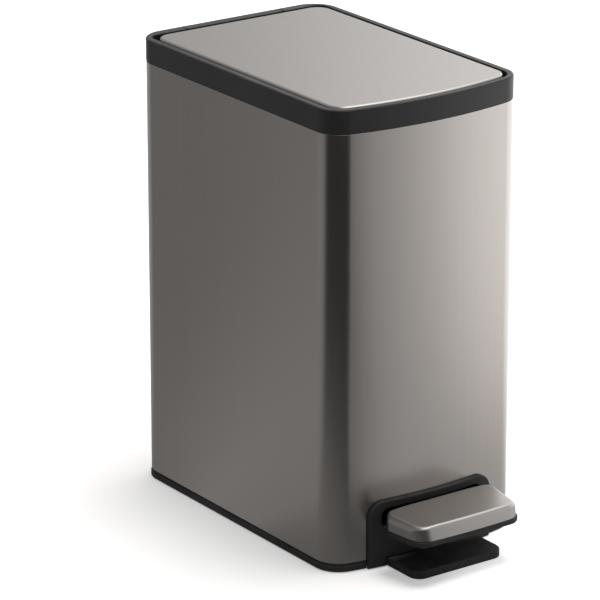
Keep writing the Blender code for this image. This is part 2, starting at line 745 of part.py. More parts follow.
def base_pan(group, plastic):
    """The base moulding: deck, wall, floor trim, corner posts and the plate under the pedal."""
    wall_inside = INNER_INSET + BASE_WALL
    step = BASE_LIFT + BASE_TRIM_FACE
    profile = [
        (wall_inside, DECK_LOW),
        (wall_inside, BASE_LIFT),
        (-BASE_TRIM_PROUD + BASE_LIFT, BASE_LIFT),
        (-BASE_TRIM_PROUD, 2 * BASE_LIFT),
        (-BASE_TRIM_PROUD, step),
        (BASE_NECK_INSET, step + BASE_TRIM_STEP),
        (BASE_NECK_INSET, BASE_TRIM_HEIGHT),
        (INNER_INSET, BASE_TRIM_HEIGHT),
        (INNER_INSET, DECK_HEIGHT),
    ]
    pan = loft("base_pan", plan_loops(BODY, profile), group, plastic)
    points = arch_points(ARCH_HALF_WIDTH + GAP, -OVERRUN, ARCH_TOP + GAP, ARCH_RADIUS + GAP)
    front, rear = FRONT - OVERRUN, CROSSBAR_REAR
    cut(pan, prism("pan_arch_cut", points, "y", front, rear, group))
    join(pan, pedal_plate(group))
    low = (-CROSSBAR_HALF_WIDTH, CROSSBAR_REAR - CROSSBAR_DEPTH, BASE_LIFT)
    high = (CROSSBAR_HALF_WIDTH, CROSSBAR_REAR, PLATE_HEIGHT)
    join(pan, block("pan_crossbar", low, high, group))
    top = DECK_HEIGHT - DECK_THICKNESS / 2
    for name, x, y in POSTS:
        place = (x, y, 0)
        join(pan, rod(f"pan_post_{name}", POST_RADIUS, BASE_LIFT, top, place, "z", group))
    for name, x, y in POSTS:
        place = (x, y, 0)
        seat = RUBBER_RADIUS + GAP
        cut(pan, rod(f"pan_seat_{name}", seat, -OVERRUN, SEAT_DEPTH, place, "z", group))
    hole = SLEEVE_RADIUS + GAP
    low, high = DECK_LOW - OVERRUN, DECK_HEIGHT + OVERRUN
    cut(pan, rod("pan_rod_cut", hole, low, high, (0, ROD_Y, 0), "z", group))
    for side, y in AXLE_SCREWS:
        cut(pan, screw_hole(f"pan_axle_cut_{side}", (0, y, 0), "z", low, high, group))
    for side, x in SURROUND_SCREWS:
        place = (x, SURROUND_SCREW_Y, PLATE_HEIGHT)
        name = f"pan_surround_cut_{side}"
        cut(pan, screw_hole(name, place, "z", -SURROUND_SCREW_DEPTH, OVERRUN, group))
    radius = FRONT_PAD_RADIUS + GAP
    high = FRONT_PAD_THICKNESS + GAP
    cut(pan, rod("pan_pad_cut", radius, -OVERRUN, high, (0, FRONT_PAD_Y, 0), "z", group))
    return pan


def pedal_plate(group):
    """The flat plate that lies on the floor under the pedal."""
    corners = rectangle(
        -PLATE_HALF_WIDTH, FRONT - PLATE_REACH, PLATE_HALF_WIDTH, CROSSBAR_REAR - BLEND
    )
    radii = [PLATE_CORNER_RADIUS, PLATE_CORNER_RADIUS, 0, 0]
    points = rounded_polygon(corners, radii)
    return prism("pan_pedal_plate", points, "z", BASE_LIFT, PLATE_HEIGHT, group)


def rubber_feet(group, rubber):
    profile = [
        (RUBBER_RADIUS - BASE_LIFT, 0),
        (RUBBER_RADIUS, BASE_LIFT),
        (RUBBER_RADIUS, SEAT_DEPTH - GAP),
    ]
    for name, x, y in POSTS:
        turned(f"rubber_foot_{name}", profile, (x, y, 0), "z", group, rubber)
    profile = [(FRONT_PAD_RADIUS, 0), (FRONT_PAD_RADIUS, FRONT_PAD_THICKNESS)]
    turned("rubber_foot_pedal_plate", profile, (0, FRONT_PAD_Y, 0), "z", group, rubber)


def pedal_surround(group, plastic):
    """The arched frame round the pedal opening, lapping the steel and bowed with it."""
    half, top, radius = ARCH_HALF_WIDTH, ARCH_TOP, ARCH_RADIUS
    surround = bow_slab(
        "pedal_surround", ARCH_PROUD, -GAP, half + OVERRUN, BASE_LIFT, top + OVERRUN,
        group, plastic,
    )
    front, rear = FRONT - ARCH_PROUD - OVERRUN, AXLE_Y
    points = arch_points(half, 0, top, radius)
    face = prism("surround_face", points, "y", front, rear, group)
    combine(surround, face, "INTERSECT")
    narrow = ARCH_LAP + GAP
    body = bow_slab(
        "surround_body", ARCH_PROUD / 2, ARCH_DEPTH, half, BASE_LIFT, top, group
    )
    points = arch_points(half - narrow, 0, top - narrow, radius - narrow)
    limit = prism("surround_body_limit", points, "y", front, rear, group)
    combine(body, limit, "INTERSECT")
    join(surround, body)
    for side, x in (("left", -LUG_OUTER), ("right", LUG_INNER)):
        low = (x, CROSSBAR_REAR - CROSSBAR_DEPTH - BLEND, PLATE_HEIGHT + GAP)
        high = (x + LUG_OUTER - LUG_INNER, CROSSBAR_REAR, PLATE_HEIGHT + GAP + LUG_PLATE)
        join(surround, block(f"surround_lug_{side}", low, high, group))
    corners = rectangle(-WINDOW_HALF_WIDTH, WINDOW_SILL, WINDOW_HALF_WIDTH, WINDOW_TOP)
    points = rounded_polygon(corners, [WINDOW_RADIUS / 2] * 2 + [WINDOW_RADIUS] * 2)
    cut(surround, prism("surround_window_cut", points, "y", front, rear, group))
    points = rectangle(-NOTCH_HALF_WIDTH, NOTCH_SILL, NOTCH_HALF_WIDTH, WINDOW_SILL + OVERRUN)
    cut(surround, prism("surround_notch_cut", points, "y", front, rear, group))
    low = (-PLATE_HALF_WIDTH - GAP, front, -OVERRUN)
    high = (PLATE_HALF_WIDTH + GAP, CROSSBAR_REAR, PLATE_HEIGHT + GAP)
    cut(surround, block("surround_plate_cut", low, high, group))
    low = (-CROSSBAR_HALF_WIDTH, CROSSBAR_REAR - CROSSBAR_DEPTH - GAP, -OVERRUN)
    high = (CROSSBAR_HALF_WIDTH, CROSSBAR_REAR + OVERRUN, PLATE_HEIGHT + GAP)
    cut(surround, block("surround_crossbar_cut", low, high, group))
    for side, x in SURROUND_SCREWS:
        place = (x, SURROUND_SCREW_Y, PLATE_HEIGHT)
        name = f"surround_screw_cut_{side}"
        cut(surround, screw_hole(name, place, "z", 0, LUG_PLATE + OVERRUN, group))
    return surround


def surround_screws(group, metal):
    for side, x in SURROUND_SCREWS:
        place = (x, SURROUND_SCREW_Y, PLATE_HEIGHT + LUG_PLATE + 2 * GAP)
        length = LUG_PLATE + SURROUND_SCREW_DEPTH
        screw(f"surround_screw_{side}", place, "z", -1, length, group, metal)


def inner_bucket(group, plastic):
    """The lift-out bucket: drafted walls, a lip, and a finger slot in each side."""
    lip = inset(LEDGE_HOLE, BUCKET_CLEARANCE)
    top = LEDGE_LOW - BUCKET_BELOW_LEDGE
    low = DECK_HEIGHT + GAP
    lip_low = top - BUCKET_LIP_HEIGHT
    inside = BUCKET_LIP_WIDTH + BUCKET_WALL
    profile = [
        (inside + BUCKET_DRAFT, low + BUCKET_FLOOR),
        (inside, top),
        (0, top),
        (0, lip_low),
        (BUCKET_LIP_WIDTH, lip_low),
        (BUCKET_LIP_WIDTH + BUCKET_DRAFT, low),
    ]
    bucket = loft("inner_bucket", plan_loops(lip, profile), group, plastic)
    radius = GRIP_HEIGHT / 2
    z = top - GRIP_DROP
    points = capsule(radius - GRIP_LENGTH / 2, z, GRIP_LENGTH / 2 - radius, z, radius)
    reach = HALF_WIDTH - STEEL_THICKNESS - GAP
    cut(bucket, prism("bucket_grip_cut", points, "x", -reach, reach, group))
    return bucket


def lid_bumpers(group, rubber):
    """Rubber buttons on the ledge that the closed lid rests on."""
    x = LEDGE_HOLE.half_width + BUMPER_RADIUS + GAP
    front, rear = RIM_HOLE.front + BUMPER_SETBACK, BAR_REAR - BUMPER_REAR_SETBACK
    profile = [(BUMPER_RADIUS, LEDGE_TOP + GAP), (BUMPER_RADIUS, LINER_LOW - GAP)]
    for end, y in (("front", front), ("rear", rear)):
        for side, place in (("left", -x), ("right", x)):
            name = f"lid_bumper_{end}_{side}"
            turned(name, profile, (place, y, 0), "z", group, rubber, SMALL_STEPS)


def pad_loops(profile):
    """Loops of the pedal's plan shape, for (distance outwards, z) of a profile."""
    rear, front = PEDAL_REAR_WIDTH / 2, PEDAL_FRONT_WIDTH / 2
    corners = [
        (rear, PEDAL_REAR), (-rear, PEDAL_REAR), (-front, PEDAL_FRONT), (front, PEDAL_FRONT),
    ]
    radii = [PEDAL_REAR_RADIUS, PEDAL_REAR_RADIUS, PEDAL_FRONT_RADIUS, PEDAL_FRONT_RADIUS]
    least = EDGE_STEPS * BLEND / CORNER_STEPS
    loops = []
    for grow, z in profile:
        kept = [max(radius, least - grow) for radius in radii]
        loops.append(at_level(rounded_polygon(corners, kept, grow), z))
    return loops


def lean_tread(loops):
    """The loops with the tread's top leaned, rear edge up and front edge down by TREAD_SLOPE."""
    middle, half = (PEDAL_REAR + PEDAL_FRONT) / 2, (PEDAL_REAR - PEDAL_FRONT) / 2
    leaned = []
    for loop in loops:
        leaned.append([])
        for x, y, z in loop:
            share = (y - middle) / half * (z - TREAD_LOW) / TREAD_HEIGHT
            leaned[-1].append((x, y, z + TREAD_SLOPE * share))
    return leaned


def pedal_tread(group, steel):
    """The pressed steel cap that the foot rests on."""
    inner = edge_profile(TREAD_SHEET, PEDAL_TOP - TREAD_SHEET, TREAD_EDGE_RADIUS - TREAD_SHEET)
    profile = inner[::-1] + [(TREAD_SHEET, TREAD_LOW), (0, TREAD_LOW)]
    profile += edge_profile(0, PEDAL_TOP, TREAD_EDGE_RADIUS)
    profile = [(-distance, z) for distance, z in profile]
    return loft("pedal_tread", lean_tread(pad_loops(profile)), group, steel)


def pedal_tray(group, plastic):
    """The plastic tray inside the tread, with a lip below it and a neck round the lever."""
    lip_top = TREAD_LOW - GAP
    lip_low = lip_top - TRAY_LIP_HEIGHT
    seat = -TREAD_SHEET - GAP
    rise = TREAD_LOW + TRAY_RISE
    floor = TRAY_LOW + TRAY_FLOOR
    profile = [
        (-TRAY_UNDER_INSET, TRAY_LOW),
        (TRAY_UNDER_TAPER - TRAY_UNDER_INSET, lip_low),
        (TRAY_LIP_PROUD, lip_low),
        (TRAY_LIP_PROUD, lip_top),
        (seat, lip_top),
        (seat, rise),
        (seat - TRAY_WALL, rise),
        (seat - TRAY_WALL, floor),
    ]
    tray = loft("pedal_tray", pad_loops(profile), group, plastic)
    neck_low = TONGUE_LOW - (NECK_HEIGHT - LEVER_THICKNESS) / 2
    front = PEDAL_REAR - TRAY_UNDER_INSET - TRAY_WALL
    low = (-NECK_HALF_WIDTH, front, neck_low)
    high = (NECK_HALF_WIDTH, PEDAL_REAR + NECK_REACH, neck_low + NECK_HEIGHT)
    join(tray, block("tray_neck", low, high, group))
    nose = PEDAL_FRONT + LEVER_NOSE
    half = LEVER_HALF_WIDTH + GAP
    low = (-half, nose - GAP, TONGUE_LOW - GAP)
    high = (half, PEDAL_REAR + NECK_REACH + OVERRUN, TONGUE_TOP + GAP)
    cut(tray, block("tray_slot_cut", low, high, group))
    for side, y in PEDAL_SCREWS:
        place = (0, y, TRAY_LOW)
        high = TRAY_FLOOR + OVERRUN
        cut(tray, screw_hole(f"tray_screw_cut_{side}", place, "z", -OVERRUN, high, group))
    return tray


def pedal_screws(group, metal):
    for side, y in PEDAL_SCREWS:
        screw(f"pedal_screw_{side}", (0, y, TRAY_LOW - GAP), "z", 1, TRAY_FLOOR, group, metal)


def pedal_lever(group, steel):
    """The steel channel lever: a raised tongue in the tray, flanges on the axle, a round tip."""
    thick = LEVER_THICKNESS
    tail = ROD_Y + LEVER_TAIL
    bend_rear = AXLE_Y - LEVER_BEND_START
    bend_front = bend_rear - LEVER_BEND_LENGTH
    nose = PEDAL_FRONT + LEVER_NOSE
    points = [
        (tail, LEVER_TOP), (bend_rear, LEVER_TOP), (bend_front, TONGUE_TOP),
        (nose, TONGUE_TOP), (nose, TONGUE_LOW), (bend_front, TONGUE_LOW),
        (bend_rear, LEVER_TOP - thick), (tail, LEVER_TOP - thick),
    ]
    half = LEVER_HALF_WIDTH
    lever = prism("pedal_lever", points, "x", -half, half, group, steel)
    top, low = LEVER_TOP - thick / 2, LEVER_TOP - LEVER_FLANGE
    side_view = [
        (tail, top), (bend_rear, top), (bend_rear + LEVER_FLANGE / 2, low),
        (tail - LEVER_FLANGE / 2, low), (tail, LEVER_TOP - LEVER_FLANGE / 2),
    ]
    for side, x in (("left", -half), ("right", half - thick)):
        join(lever, prism(f"lever_flange_{side}", side_view, "x", x, x + thick, group))
    tip = (0, ROD_Y, LEVER_TOP - thick / 2)
    join(lever, rod("lever_tip", TIP_RADIUS, -TIP_HALF_WIDTH, TIP_HALF_WIDTH, tip, "x", group))
    place = (0, AXLE_Y, AXLE_HEIGHT)
    reach = half + OVERRUN
    cut(lever, rod("lever_axle_cut", AXLE_RADIUS + GAP, -reach, reach, place, "x", group))
    for side, y in PEDAL_SCREWS:
        place = (0, y, TONGUE_LOW)
        cut(lever, screw_hole(f"lever_screw_cut_{side}", place, "z", -OVERRUN, OVERRUN + thick, group))
    return lever


def axle_bracket(group, steel):
    """The bracket under the deck whose ears hold the lever's axle."""
    top = DECK_LOW - GAP
    low = top - MOUNT_PLATE
    outer = MOUNT_EAR_INSIDE + MOUNT_EAR_THICKNESS
    near, far = AXLE_Y - MOUNT_HALF_DEPTH, AXLE_Y + MOUNT_HALF_DEPTH
    bracket = block("axle_bracket", (-outer, near, low), (outer, far, top), group, steel)
    radius = MOUNT_EAR_RADIUS
    points = arc(AXLE_Y, AXLE_HEIGHT, radius, pi, 2 * pi, SMALL_STEPS)
    points += [(far, low + MOUNT_PLATE / 2), (near, low + MOUNT_PLATE / 2)]
    for side, x in (("left", -outer), ("right", MOUNT_EAR_INSIDE)):
        name = f"mount_ear_{side}"
        join(bracket, prism(name, points, "x", x, x + MOUNT_EAR_THICKNESS, group))
    place = (0, AXLE_Y, AXLE_HEIGHT)
    reach = outer + OVERRUN
    cut(bracket, rod("mount_axle_cut", AXLE_RADIUS + GAP, -reach, reach, place, "x", group))
    for side, y in AXLE_SCREWS:
        place = (0, y, low)
        high = MOUNT_PLATE + OVERRUN
        cut(bracket, screw_hole(f"mount_screw_cut_{side}", place, "z", -OVERRUN, high, group))
    return bracket


def axle_and_bushes(group, steel, plastic):
    head = MOUNT_EAR_INSIDE + MOUNT_EAR_THICKNESS + GAP
    end = head + AXLE_HEAD_LENGTH
    profile = [
        (AXLE_HEAD_RADIUS, -end), (AXLE_HEAD_RADIUS, -head), (AXLE_RADIUS, -head),
        (AXLE_RADIUS, head), (AXLE_HEAD_RADIUS, head), (AXLE_HEAD_RADIUS, end),
    ]
    place = (0, AXLE_Y, AXLE_HEIGHT)
    turned("pedal_axle", profile, place, "x", group, steel)
    near = LEVER_HALF_WIDTH + GAP
    inner = AXLE_RADIUS + GAP
    for side, sign in (("left", -1), ("right", 1)):
        ends = sign * near, sign * (near + BUSH_LENGTH)
        profile = [(inner, ends[0]), (BUSH_RADIUS, ends[0]), (BUSH_RADIUS, ends[1]), (inner, ends[1])]
        turned(f"axle_bush_{side}", profile, place, "x", group, plastic, closed=True)


def axle_screws(group, metal):
    low = DECK_LOW - 2 * GAP - MOUNT_PLATE
    length = MOUNT_PLATE + GAP + DECK_THICKNESS
    for side, y in AXLE_SCREWS:
        screw(f"axle_screw_{side}", (0, y, low), "z", 1, length, group, metal)


def push_rod(group, steel):
    low = SHOE_LOW + SHOE_THICKNESS + GAP
    high = CAP_TOP - SOCKET_FLOOR - GAP
    rod("push_rod", ROD_RADIUS, low, high, (0, ROD_Y, 0), "z", group, steel, SMALL_STEPS)


def rod_shoe(group, plastic):
    """The shoe on the lever's tip, with a sleeve that slides in the deck."""
    bore = ROD_RADIUS + GAP
    top = SHOE_LOW + SHOE_THICKNESS
    profile = [
        (SHOE_RADIUS, SHOE_LOW),
        (SHOE_RADIUS, top),
        (SLEEVE_RADIUS, top),
        (SLEEVE_RADIUS, DECK_HEIGHT + OVERRUN),
        (bore, DECK_HEIGHT + OVERRUN),
        (bore, top),
    ]
    turned("rod_shoe", profile, (0, ROD_Y, 0), "z", group, plastic)


def rod_cap(group, plastic):
    """The cap on top of the rod, which lifts the lid's lug."""
    bore = ROD_RADIUS + GAP
    profile = [
        (bore, CAP_TOP - SOCKET_FLOOR),
        (bore, BRACKET_TOP + GAP),
        (CAP_RADIUS, BRACKET_TOP + GAP),
        (CAP_RADIUS, CAP_TOP - BLEND),
        (CAP_RADIUS - BLEND, CAP_TOP),
    ]
    turned("rod_cap", profile, (0, ROD_Y, 0), "z", group, plastic)


def rear_channel(group, plastic):
    """The upright cover between the bucket and the rod, open towards the rear."""
    front = BUCKET_REAR + COVER_FRONT_GAP
    rear = BRACKET_REAR - BRACKET_THICKNESS - GAP
    half, wall = CHANNEL_HALF_WIDTH, CHANNEL_WALL
    points = [
        (-half, front), (half, front), (half, rear), (half - wall, rear),
        (half - wall, front + wall), (wall - half, front + wall), (wall - half, rear), (-half, rear),
    ]
    low, high = DECK_HEIGHT + GAP, BRACKET_LOW - GAP
    return prism("rear_channel", points, "z", low, high, group, plastic)


def damper_cylinder(group, steel):
    """The closing damper's cylinder, standing on the deck."""
    low = DECK_HEIGHT + GAP
    high = low + DAMPER_HEIGHT
    bore = DAMPER_RADIUS - DAMPER_WALL
    hole = ROD_RADIUS + GAP
    profile = [
        (bore, low + DAMPER_END),
        (bore, high - DAMPER_END),
        (hole, high - DAMPER_END),
        (hole, high),
        (DAMPER_RADIUS - BLEND, high),
        (DAMPER_RADIUS, high - BLEND),
        (DAMPER_RADIUS, low),
    ]
    turned("damper_cylinder", profile, DAMPER_PLACE, "z", group, steel)


def damper_piston(group, steel):
    """The piston and its stem, which rise with the rod."""
    low = DECK_HEIGHT + GAP + DAMPER_END + PISTON_START
    radius = DAMPER_RADIUS - DAMPER_WALL - GAP
    profile = [
        (radius, low), (radius, low + PISTON_HEIGHT), (ROD_RADIUS, low + PISTON_HEIGHT),
        (ROD_RADIUS, LINK_LOW + LINK_HEIGHT),
    ]
    turned("damper_piston", profile, DAMPER_PLACE, "z", group, steel)


def damper_link(group, plastic):
    """The clamp that ties the damper's stem to the rod."""
    x, y = DAMPER_PLACE[:2]
    points = capsule(0, ROD_Y, x, y, LINK_RADIUS)
    high = LINK_LOW + LINK_HEIGHT
    link = prism("damper_link", points, "z", LINK_LOW, high, group, plastic)
    for name, place in (("rod", (0, ROD_Y, 0)), ("stem", DAMPER_PLACE)):
        ends = LINK_LOW - OVERRUN, high + OVERRUN
        hole = ROD_RADIUS + GAP
        cut(link, rod(f"link_{name}_cut", hole, *ends, place, "z", group, steps=SMALL_STEPS))
    return link


def damper_clip(group, plastic):
    """The collar that holds the cylinder to the side of the cover."""
    x, y = DAMPER_PLACE[:2]
    high = DECK_HEIGHT + GAP + DAMPER_HEIGHT - CLIP_BELOW_TOP
    low = high - CLIP_HEIGHT
    reach = DAMPER_RADIUS + GAP + CLIP_WALL
    side = CHANNEL_HALF_WIDTH - CHANNEL_WALL - GAP
    corners = (x - reach, y - reach, low), (side, y + reach, high)
    clip = block("damper_clip", *corners, group, plastic)
    hole = DAMPER_RADIUS + GAP
    ends = low - OVERRUN, high + OVERRUN
    cut(clip, rod("clip_cut", hole, *ends, DAMPER_PLACE, "z", group))
    return clip


def post_places():
    """Post centres: inside each corner of the body, just overlapping the wall."""
    wall_inside = INNER_INSET + BASE_WALL
    front_x = HALF_WIDTH - FRONT_CORNER_RADIUS
    front_y = BOW_CENTRE - sqrt((BOW_RADIUS - FRONT_CORNER_RADIUS) ** 2 - front_x ** 2)
    rear_x, rear_y = HALF_WIDTH - REAR_CORNER_RADIUS, REAR - REAR_CORNER_RADIUS
    overlap = BASE_WALL / 2
    front = (FRONT_CORNER_RADIUS - wall_inside - POST_RADIUS + overlap) * sin(pi / 4)
    rear = (REAR_CORNER_RADIUS - wall_inside - POST_RADIUS + overlap) * sin(pi / 4)
    return [
        ("front_left", -front_x - front, front_y - front),
        ("front_right", front_x + front, front_y - front),
        ("rear_left", -rear_x - rear, rear_y + rear),
        ("rear_right", rear_x + rear, rear_y + rear),
    ]


BRACKET_REACH = RIM_REAR_WIDTH - INNER_INSET - OVERRUN / 2
BUCKET_REAR = LEDGE_HOLE.rear - BUCKET_CLEARANCE - BUCKET_LIP_WIDTH
CROSSBAR_REAR = FRONT + ARCH_DEPTH + CROSSBAR_DEPTH
POSTS = post_places()
FRONT_PAD_Y = FRONT - PLATE_REACH + FRONT_PAD_SETBACK
YOKE_SCREW_Y = HINGE_Y - YOKE_REACH + YOKE_SCREW_SETBACK
YOKE_SCREWS = [("left", -YOKE_SCREW_SPREAD), ("middle", 0), ("right", YOKE_SCREW_SPREAD)]
AXLE_SCREWS = [("front", AXLE_Y - AXLE_SCREW_SPREAD), ("rear", AXLE_Y + AXLE_SCREW_SPREAD)]
PEDAL_MIDDLE = (PEDAL_FRONT + PEDAL_REAR) / 2
PEDAL_SCREWS = [
    ("front", PEDAL_MIDDLE - PEDAL_SCREW_SPREAD),
    ("rear", PEDAL_MIDDLE + PEDAL_SCREW_SPREAD),
]
SURROUND_SCREW_X = (LUG_INNER + LUG_OUTER) / 2
SURROUND_SCREWS = [("left", -SURROUND_SCREW_X), ("right", SURROUND_SCREW_X)]
SURROUND_SCREW_Y = CROSSBAR_REAR - CROSSBAR_DEPTH / 2
DAMPER_PLACE = (DAMPER_OFFSET, ROD_Y + DAMPER_BEHIND_ROD, 0)
LINK_LOW = DECK_HEIGHT + GAP + DAMPER_HEIGHT + LINK_ABOVE_DAMPER


def main():
    clear_scene()
    steel = make_material("brushed_steel", (0.42, 0.40, 0.38), 0.32, 1)
    black = make_material("black_plastic", (0.022, 0.021, 0.020), 0.42, 0)
    inner_black = make_material("inner_plastic", (0.032, 0.032, 0.033), 0.55, 0)
    zinc = make_material("plated_steel", (0.55, 0.55, 0.53), 0.38, 1)
    rubber = make_material("rubber", (0.015, 0.015, 0.015), 0.85, 0)
    natural = make_material("natural_plastic", (0.62, 0.61, 0.57), 0.45, 0)

    bin_group = make_group("bin", (0, FOOTPRINT_SHIFT, 0))
    lid = make_group("lid_axis", (0, HINGE_Y, HINGE_Z), bin_group)
    pedal = make_group("pedal_axis", (0, AXLE_Y, AXLE_HEIGHT), bin_group)
    lift = make_group("rod_axis", (0, ROD_Y, SHOE_LOW), bin_group)

    outer_shell(bin_group, steel)
    rim_collar(bin_group, black)
    hinge_cover(bin_group, black)
    base_pan(bin_group, black)
    rubber_feet(bin_group, rubber)
    pedal_surround(bin_group, black)
    surround_screws(bin_group, zinc)
    inner_bucket(bin_group, inner_black)
    lid_bumpers(bin_group, rubber)
    hinge_bracket(bin_group, zinc)
    hinge_pins(bin_group, zinc)
    hinge_screws(bin_group, zinc)
    axle_bracket(bin_group, zinc)
    axle_and_bushes(bin_group, zinc, natural)
    axle_screws(bin_group, zinc)
    rear_channel(bin_group, inner_black)
    damper_cylinder(bin_group, inner_black)
    damper_clip(bin_group, natural)

    lid_skin(lid, steel)
    lid_liner(lid, black)
    hinge_yoke(lid, zinc)
    yoke_screws(lid, zinc)

    pedal_tread(pedal, steel)
    pedal_tray(pedal, black)
    pedal_screws(pedal, zinc)
    pedal_lever(pedal, zinc)

    push_rod(lift, zinc)
    rod_shoe(lift, natural)
    rod_cap(lift, natural)
    damper_piston(lift, zinc)
    damper_link(lift, natural)


main()
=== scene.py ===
import json
from math import acos, atan2, cos, pi, radians, sin, sqrt

import bmesh
import bpy
from mathutils import Matrix, Vector
from mathutils.geometry import delaunay_2d_cdt


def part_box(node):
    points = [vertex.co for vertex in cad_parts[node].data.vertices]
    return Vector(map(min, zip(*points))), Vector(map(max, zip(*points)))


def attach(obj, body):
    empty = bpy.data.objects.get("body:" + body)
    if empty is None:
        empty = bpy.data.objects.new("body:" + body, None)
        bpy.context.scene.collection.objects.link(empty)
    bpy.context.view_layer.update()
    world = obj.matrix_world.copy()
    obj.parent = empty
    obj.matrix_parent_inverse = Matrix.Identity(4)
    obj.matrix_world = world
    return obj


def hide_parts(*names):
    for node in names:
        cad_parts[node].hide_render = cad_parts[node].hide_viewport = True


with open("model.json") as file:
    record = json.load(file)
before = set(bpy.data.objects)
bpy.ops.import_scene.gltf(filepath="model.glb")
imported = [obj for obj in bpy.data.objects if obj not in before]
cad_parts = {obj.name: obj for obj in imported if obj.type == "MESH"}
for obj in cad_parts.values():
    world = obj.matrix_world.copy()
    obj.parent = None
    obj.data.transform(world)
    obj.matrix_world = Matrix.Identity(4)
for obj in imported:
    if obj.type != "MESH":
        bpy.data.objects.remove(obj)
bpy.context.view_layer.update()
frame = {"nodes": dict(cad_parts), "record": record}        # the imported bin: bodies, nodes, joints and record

nodes = frame["nodes"]

# The body in plan: x is the width, the front is -y, metres throughout. Shapes are drawn about
# the body's own centre, and shift carries them to their place in the frame.
body = dict(
    halfWidth=0.0825, front=-0.126, rear=0.126, frontRadius=0.0193, rearRadius=0.0201,
    bow=0.0105, height=0.341, shift=0.02365, gap=0.0003, inside=0.0011,
    cornerSteps=20, bowSteps=36, leastRadius=0.0004,
)
body["bowRadius"] = (body["halfWidth"] ** 2 + body["bow"] ** 2) / (2 * body["bow"])
body["bowCentre"] = body["front"] + body["bowRadius"]

# Plans of one kind of outline: half width, front, rear, front corners' radius, rear corners' radius
bodyPlan = (body["halfWidth"], body["front"], body["rear"], body["frontRadius"], body["rearRadius"])
rimHole = (0.0771, -0.1220, 0.1178, 0.0139, 0.0080)
lidPlan = (0.0748, -0.1193, 0.1140, 0.0130, 0.0120)
ledgeHole = (0.0670, -0.1119, 0.080406, 0.0120, 0.0120)

# Lines that several pieces share
lines = dict(
    hingeY=0.1060, rodY=0.090006, axleY=-0.0720, crossbarRear=-0.1095, lugScrewIn=0.0045,
    pedalRear=-0.1340, pedalFront=-0.1730, screwHole=0.0018, screwX=(-0.030, 0.030),
)
past = 0.002        # how far a cutter reaches past the face it cuts
sharpTurn = 32      # degrees, above which an edge is drawn sharp


def addObject(name, data):
    thing = bpy.data.objects.new(name, data)
    bpy.context.collection.objects.link(thing)
    return thing


def newPiece(name, shape, sharp=sharpTurn):
    bmesh.ops.recalc_face_normals(shape, faces=shape.faces)
    mesh = bpy.data.meshes.new(name)
    shape.to_mesh(mesh)
    shape.free()
    mesh.transform(Matrix.Translation((0, body["shift"], 0)))
    mesh.shade_smooth()
    mesh.set_sharp_from_angle(angle=radians(sharp))
    return addObject(name, mesh)


def bakeShape(piece):
    # keeps the shape that the modifiers give
    graph = bpy.context.evaluated_depsgraph_get()
    shaped = bpy.data.meshes.new_from_object(piece.evaluated_get(graph))
    old = piece.data
    piece.modifiers.clear()
    piece.data = shaped
    bpy.data.meshes.remove(old)
    shaped.name = piece.name


def combine(piece, other, operation):
    step = piece.modifiers.new(other.name, "BOOLEAN")
    step.object, step.operation, step.solver = other, operation, "EXACT"
    bakeShape(piece)
    bpy.data.objects.remove(other, do_unlink=True)
    piece.data.set_sharp_from_angle(angle=radians(sharpTurn))
    return piece


def carve(piece, other):
    return combine(piece, other, "DIFFERENCE")


def fuse(piece, other):
    return combine(piece, other, "UNION")


def easeEdges(piece, width, angle):
    ease = piece.modifiers.new("eased edges", "BEVEL")
    ease.width, ease.segments, ease.limit_method = width, 2, "ANGLE"
    ease.angle_limit, ease.harden_normals = radians(angle), True
    return piece


def evenNormals(piece):
    # flat faces shade flat, and their rounded edges stay soft
    even = piece.modifiers.new("even normals", "WEIGHTED_NORMAL")
    even.keep_sharp, even.weight = True, 60
    return piece


def arc(x, y, radius, start, end, steps):
    return [(x + radius * cos(start + (end - start) * i / steps),
             y + radius * sin(start + (end - start) * i / steps)) for i in range(steps + 1)]


def archCorners(half, top, radius, steps):
    # the round upper corners, right and left
    points = arc(half - radius, top - radius, radius, 0, pi / 2, steps)
    return points + arc(-half + radius, top - radius, radius, pi / 2, pi, steps)


def planLoop(plan, inset=0):
    # anticlockwise: rear right corner, rear left, front left, the bowed front, front right
    halfWidth, front, rear, frontRadius, rearRadius = plan
    halfWidth, front, rear = halfWidth - inset, front + inset, rear - inset
    frontRadius = max(frontRadius - inset, body["leastRadius"])
    rearRadius = max(rearRadius - inset, body["leastRadius"])
    bow, steps = body["bowCentre"] - front, body["cornerSteps"]
    x = halfWidth - frontRadius
    y = body["bowCentre"] - sqrt((bow - frontRadius) ** 2 - x ** 2)
    lean = atan2(y - body["bowCentre"], x)
    points = archCorners(halfWidth, rear, rearRadius, steps)
    points += arc(-x, y, frontRadius, pi, pi - lean, steps)
    points += arc(0, body["bowCentre"], bow, pi - lean, 2 * pi + lean, body["bowSteps"])[1:-1]
    points += arc(x, y, frontRadius, lean, 0, steps)
    return points


def atLevel(points, z):
    return [(x, y, z) for x, y in points]


def planLoops(plan, profile):
    return [atLevel(planLoop(plan, inset), z) for inset, z in profile]


def facingIn(profile):
    # the profile of a hole's wall
    return [(-inset, z) for inset, z in profile]


def turnEdge(inset, z, radius, steps=7):
    # the quarter round from a wall up to a flat top
    return [(inset + radius * (1 - cos(pi / 2 * i / steps)), z - radius * (1 - sin(pi / 2 * i / steps)))
            for i in range(steps + 1)]


def turnUnder(inset, z, radius, steps=4):
    # the quarter round from a flat underside out to a wall
    return [(inset - drop, z + step) for step, drop in turnEdge(0, 0, radius, steps)]


def skinRows(shape, rows, ring=False):
    # faces from each row of points to the next
    for low, high in zip(rows, rows[1:] + (rows[:1] if ring else [])):
        for i in range(len(low)):
            j = (i + 1) % len(low)
            shape.faces.new((low[i], low[j], high[j], high[i]))


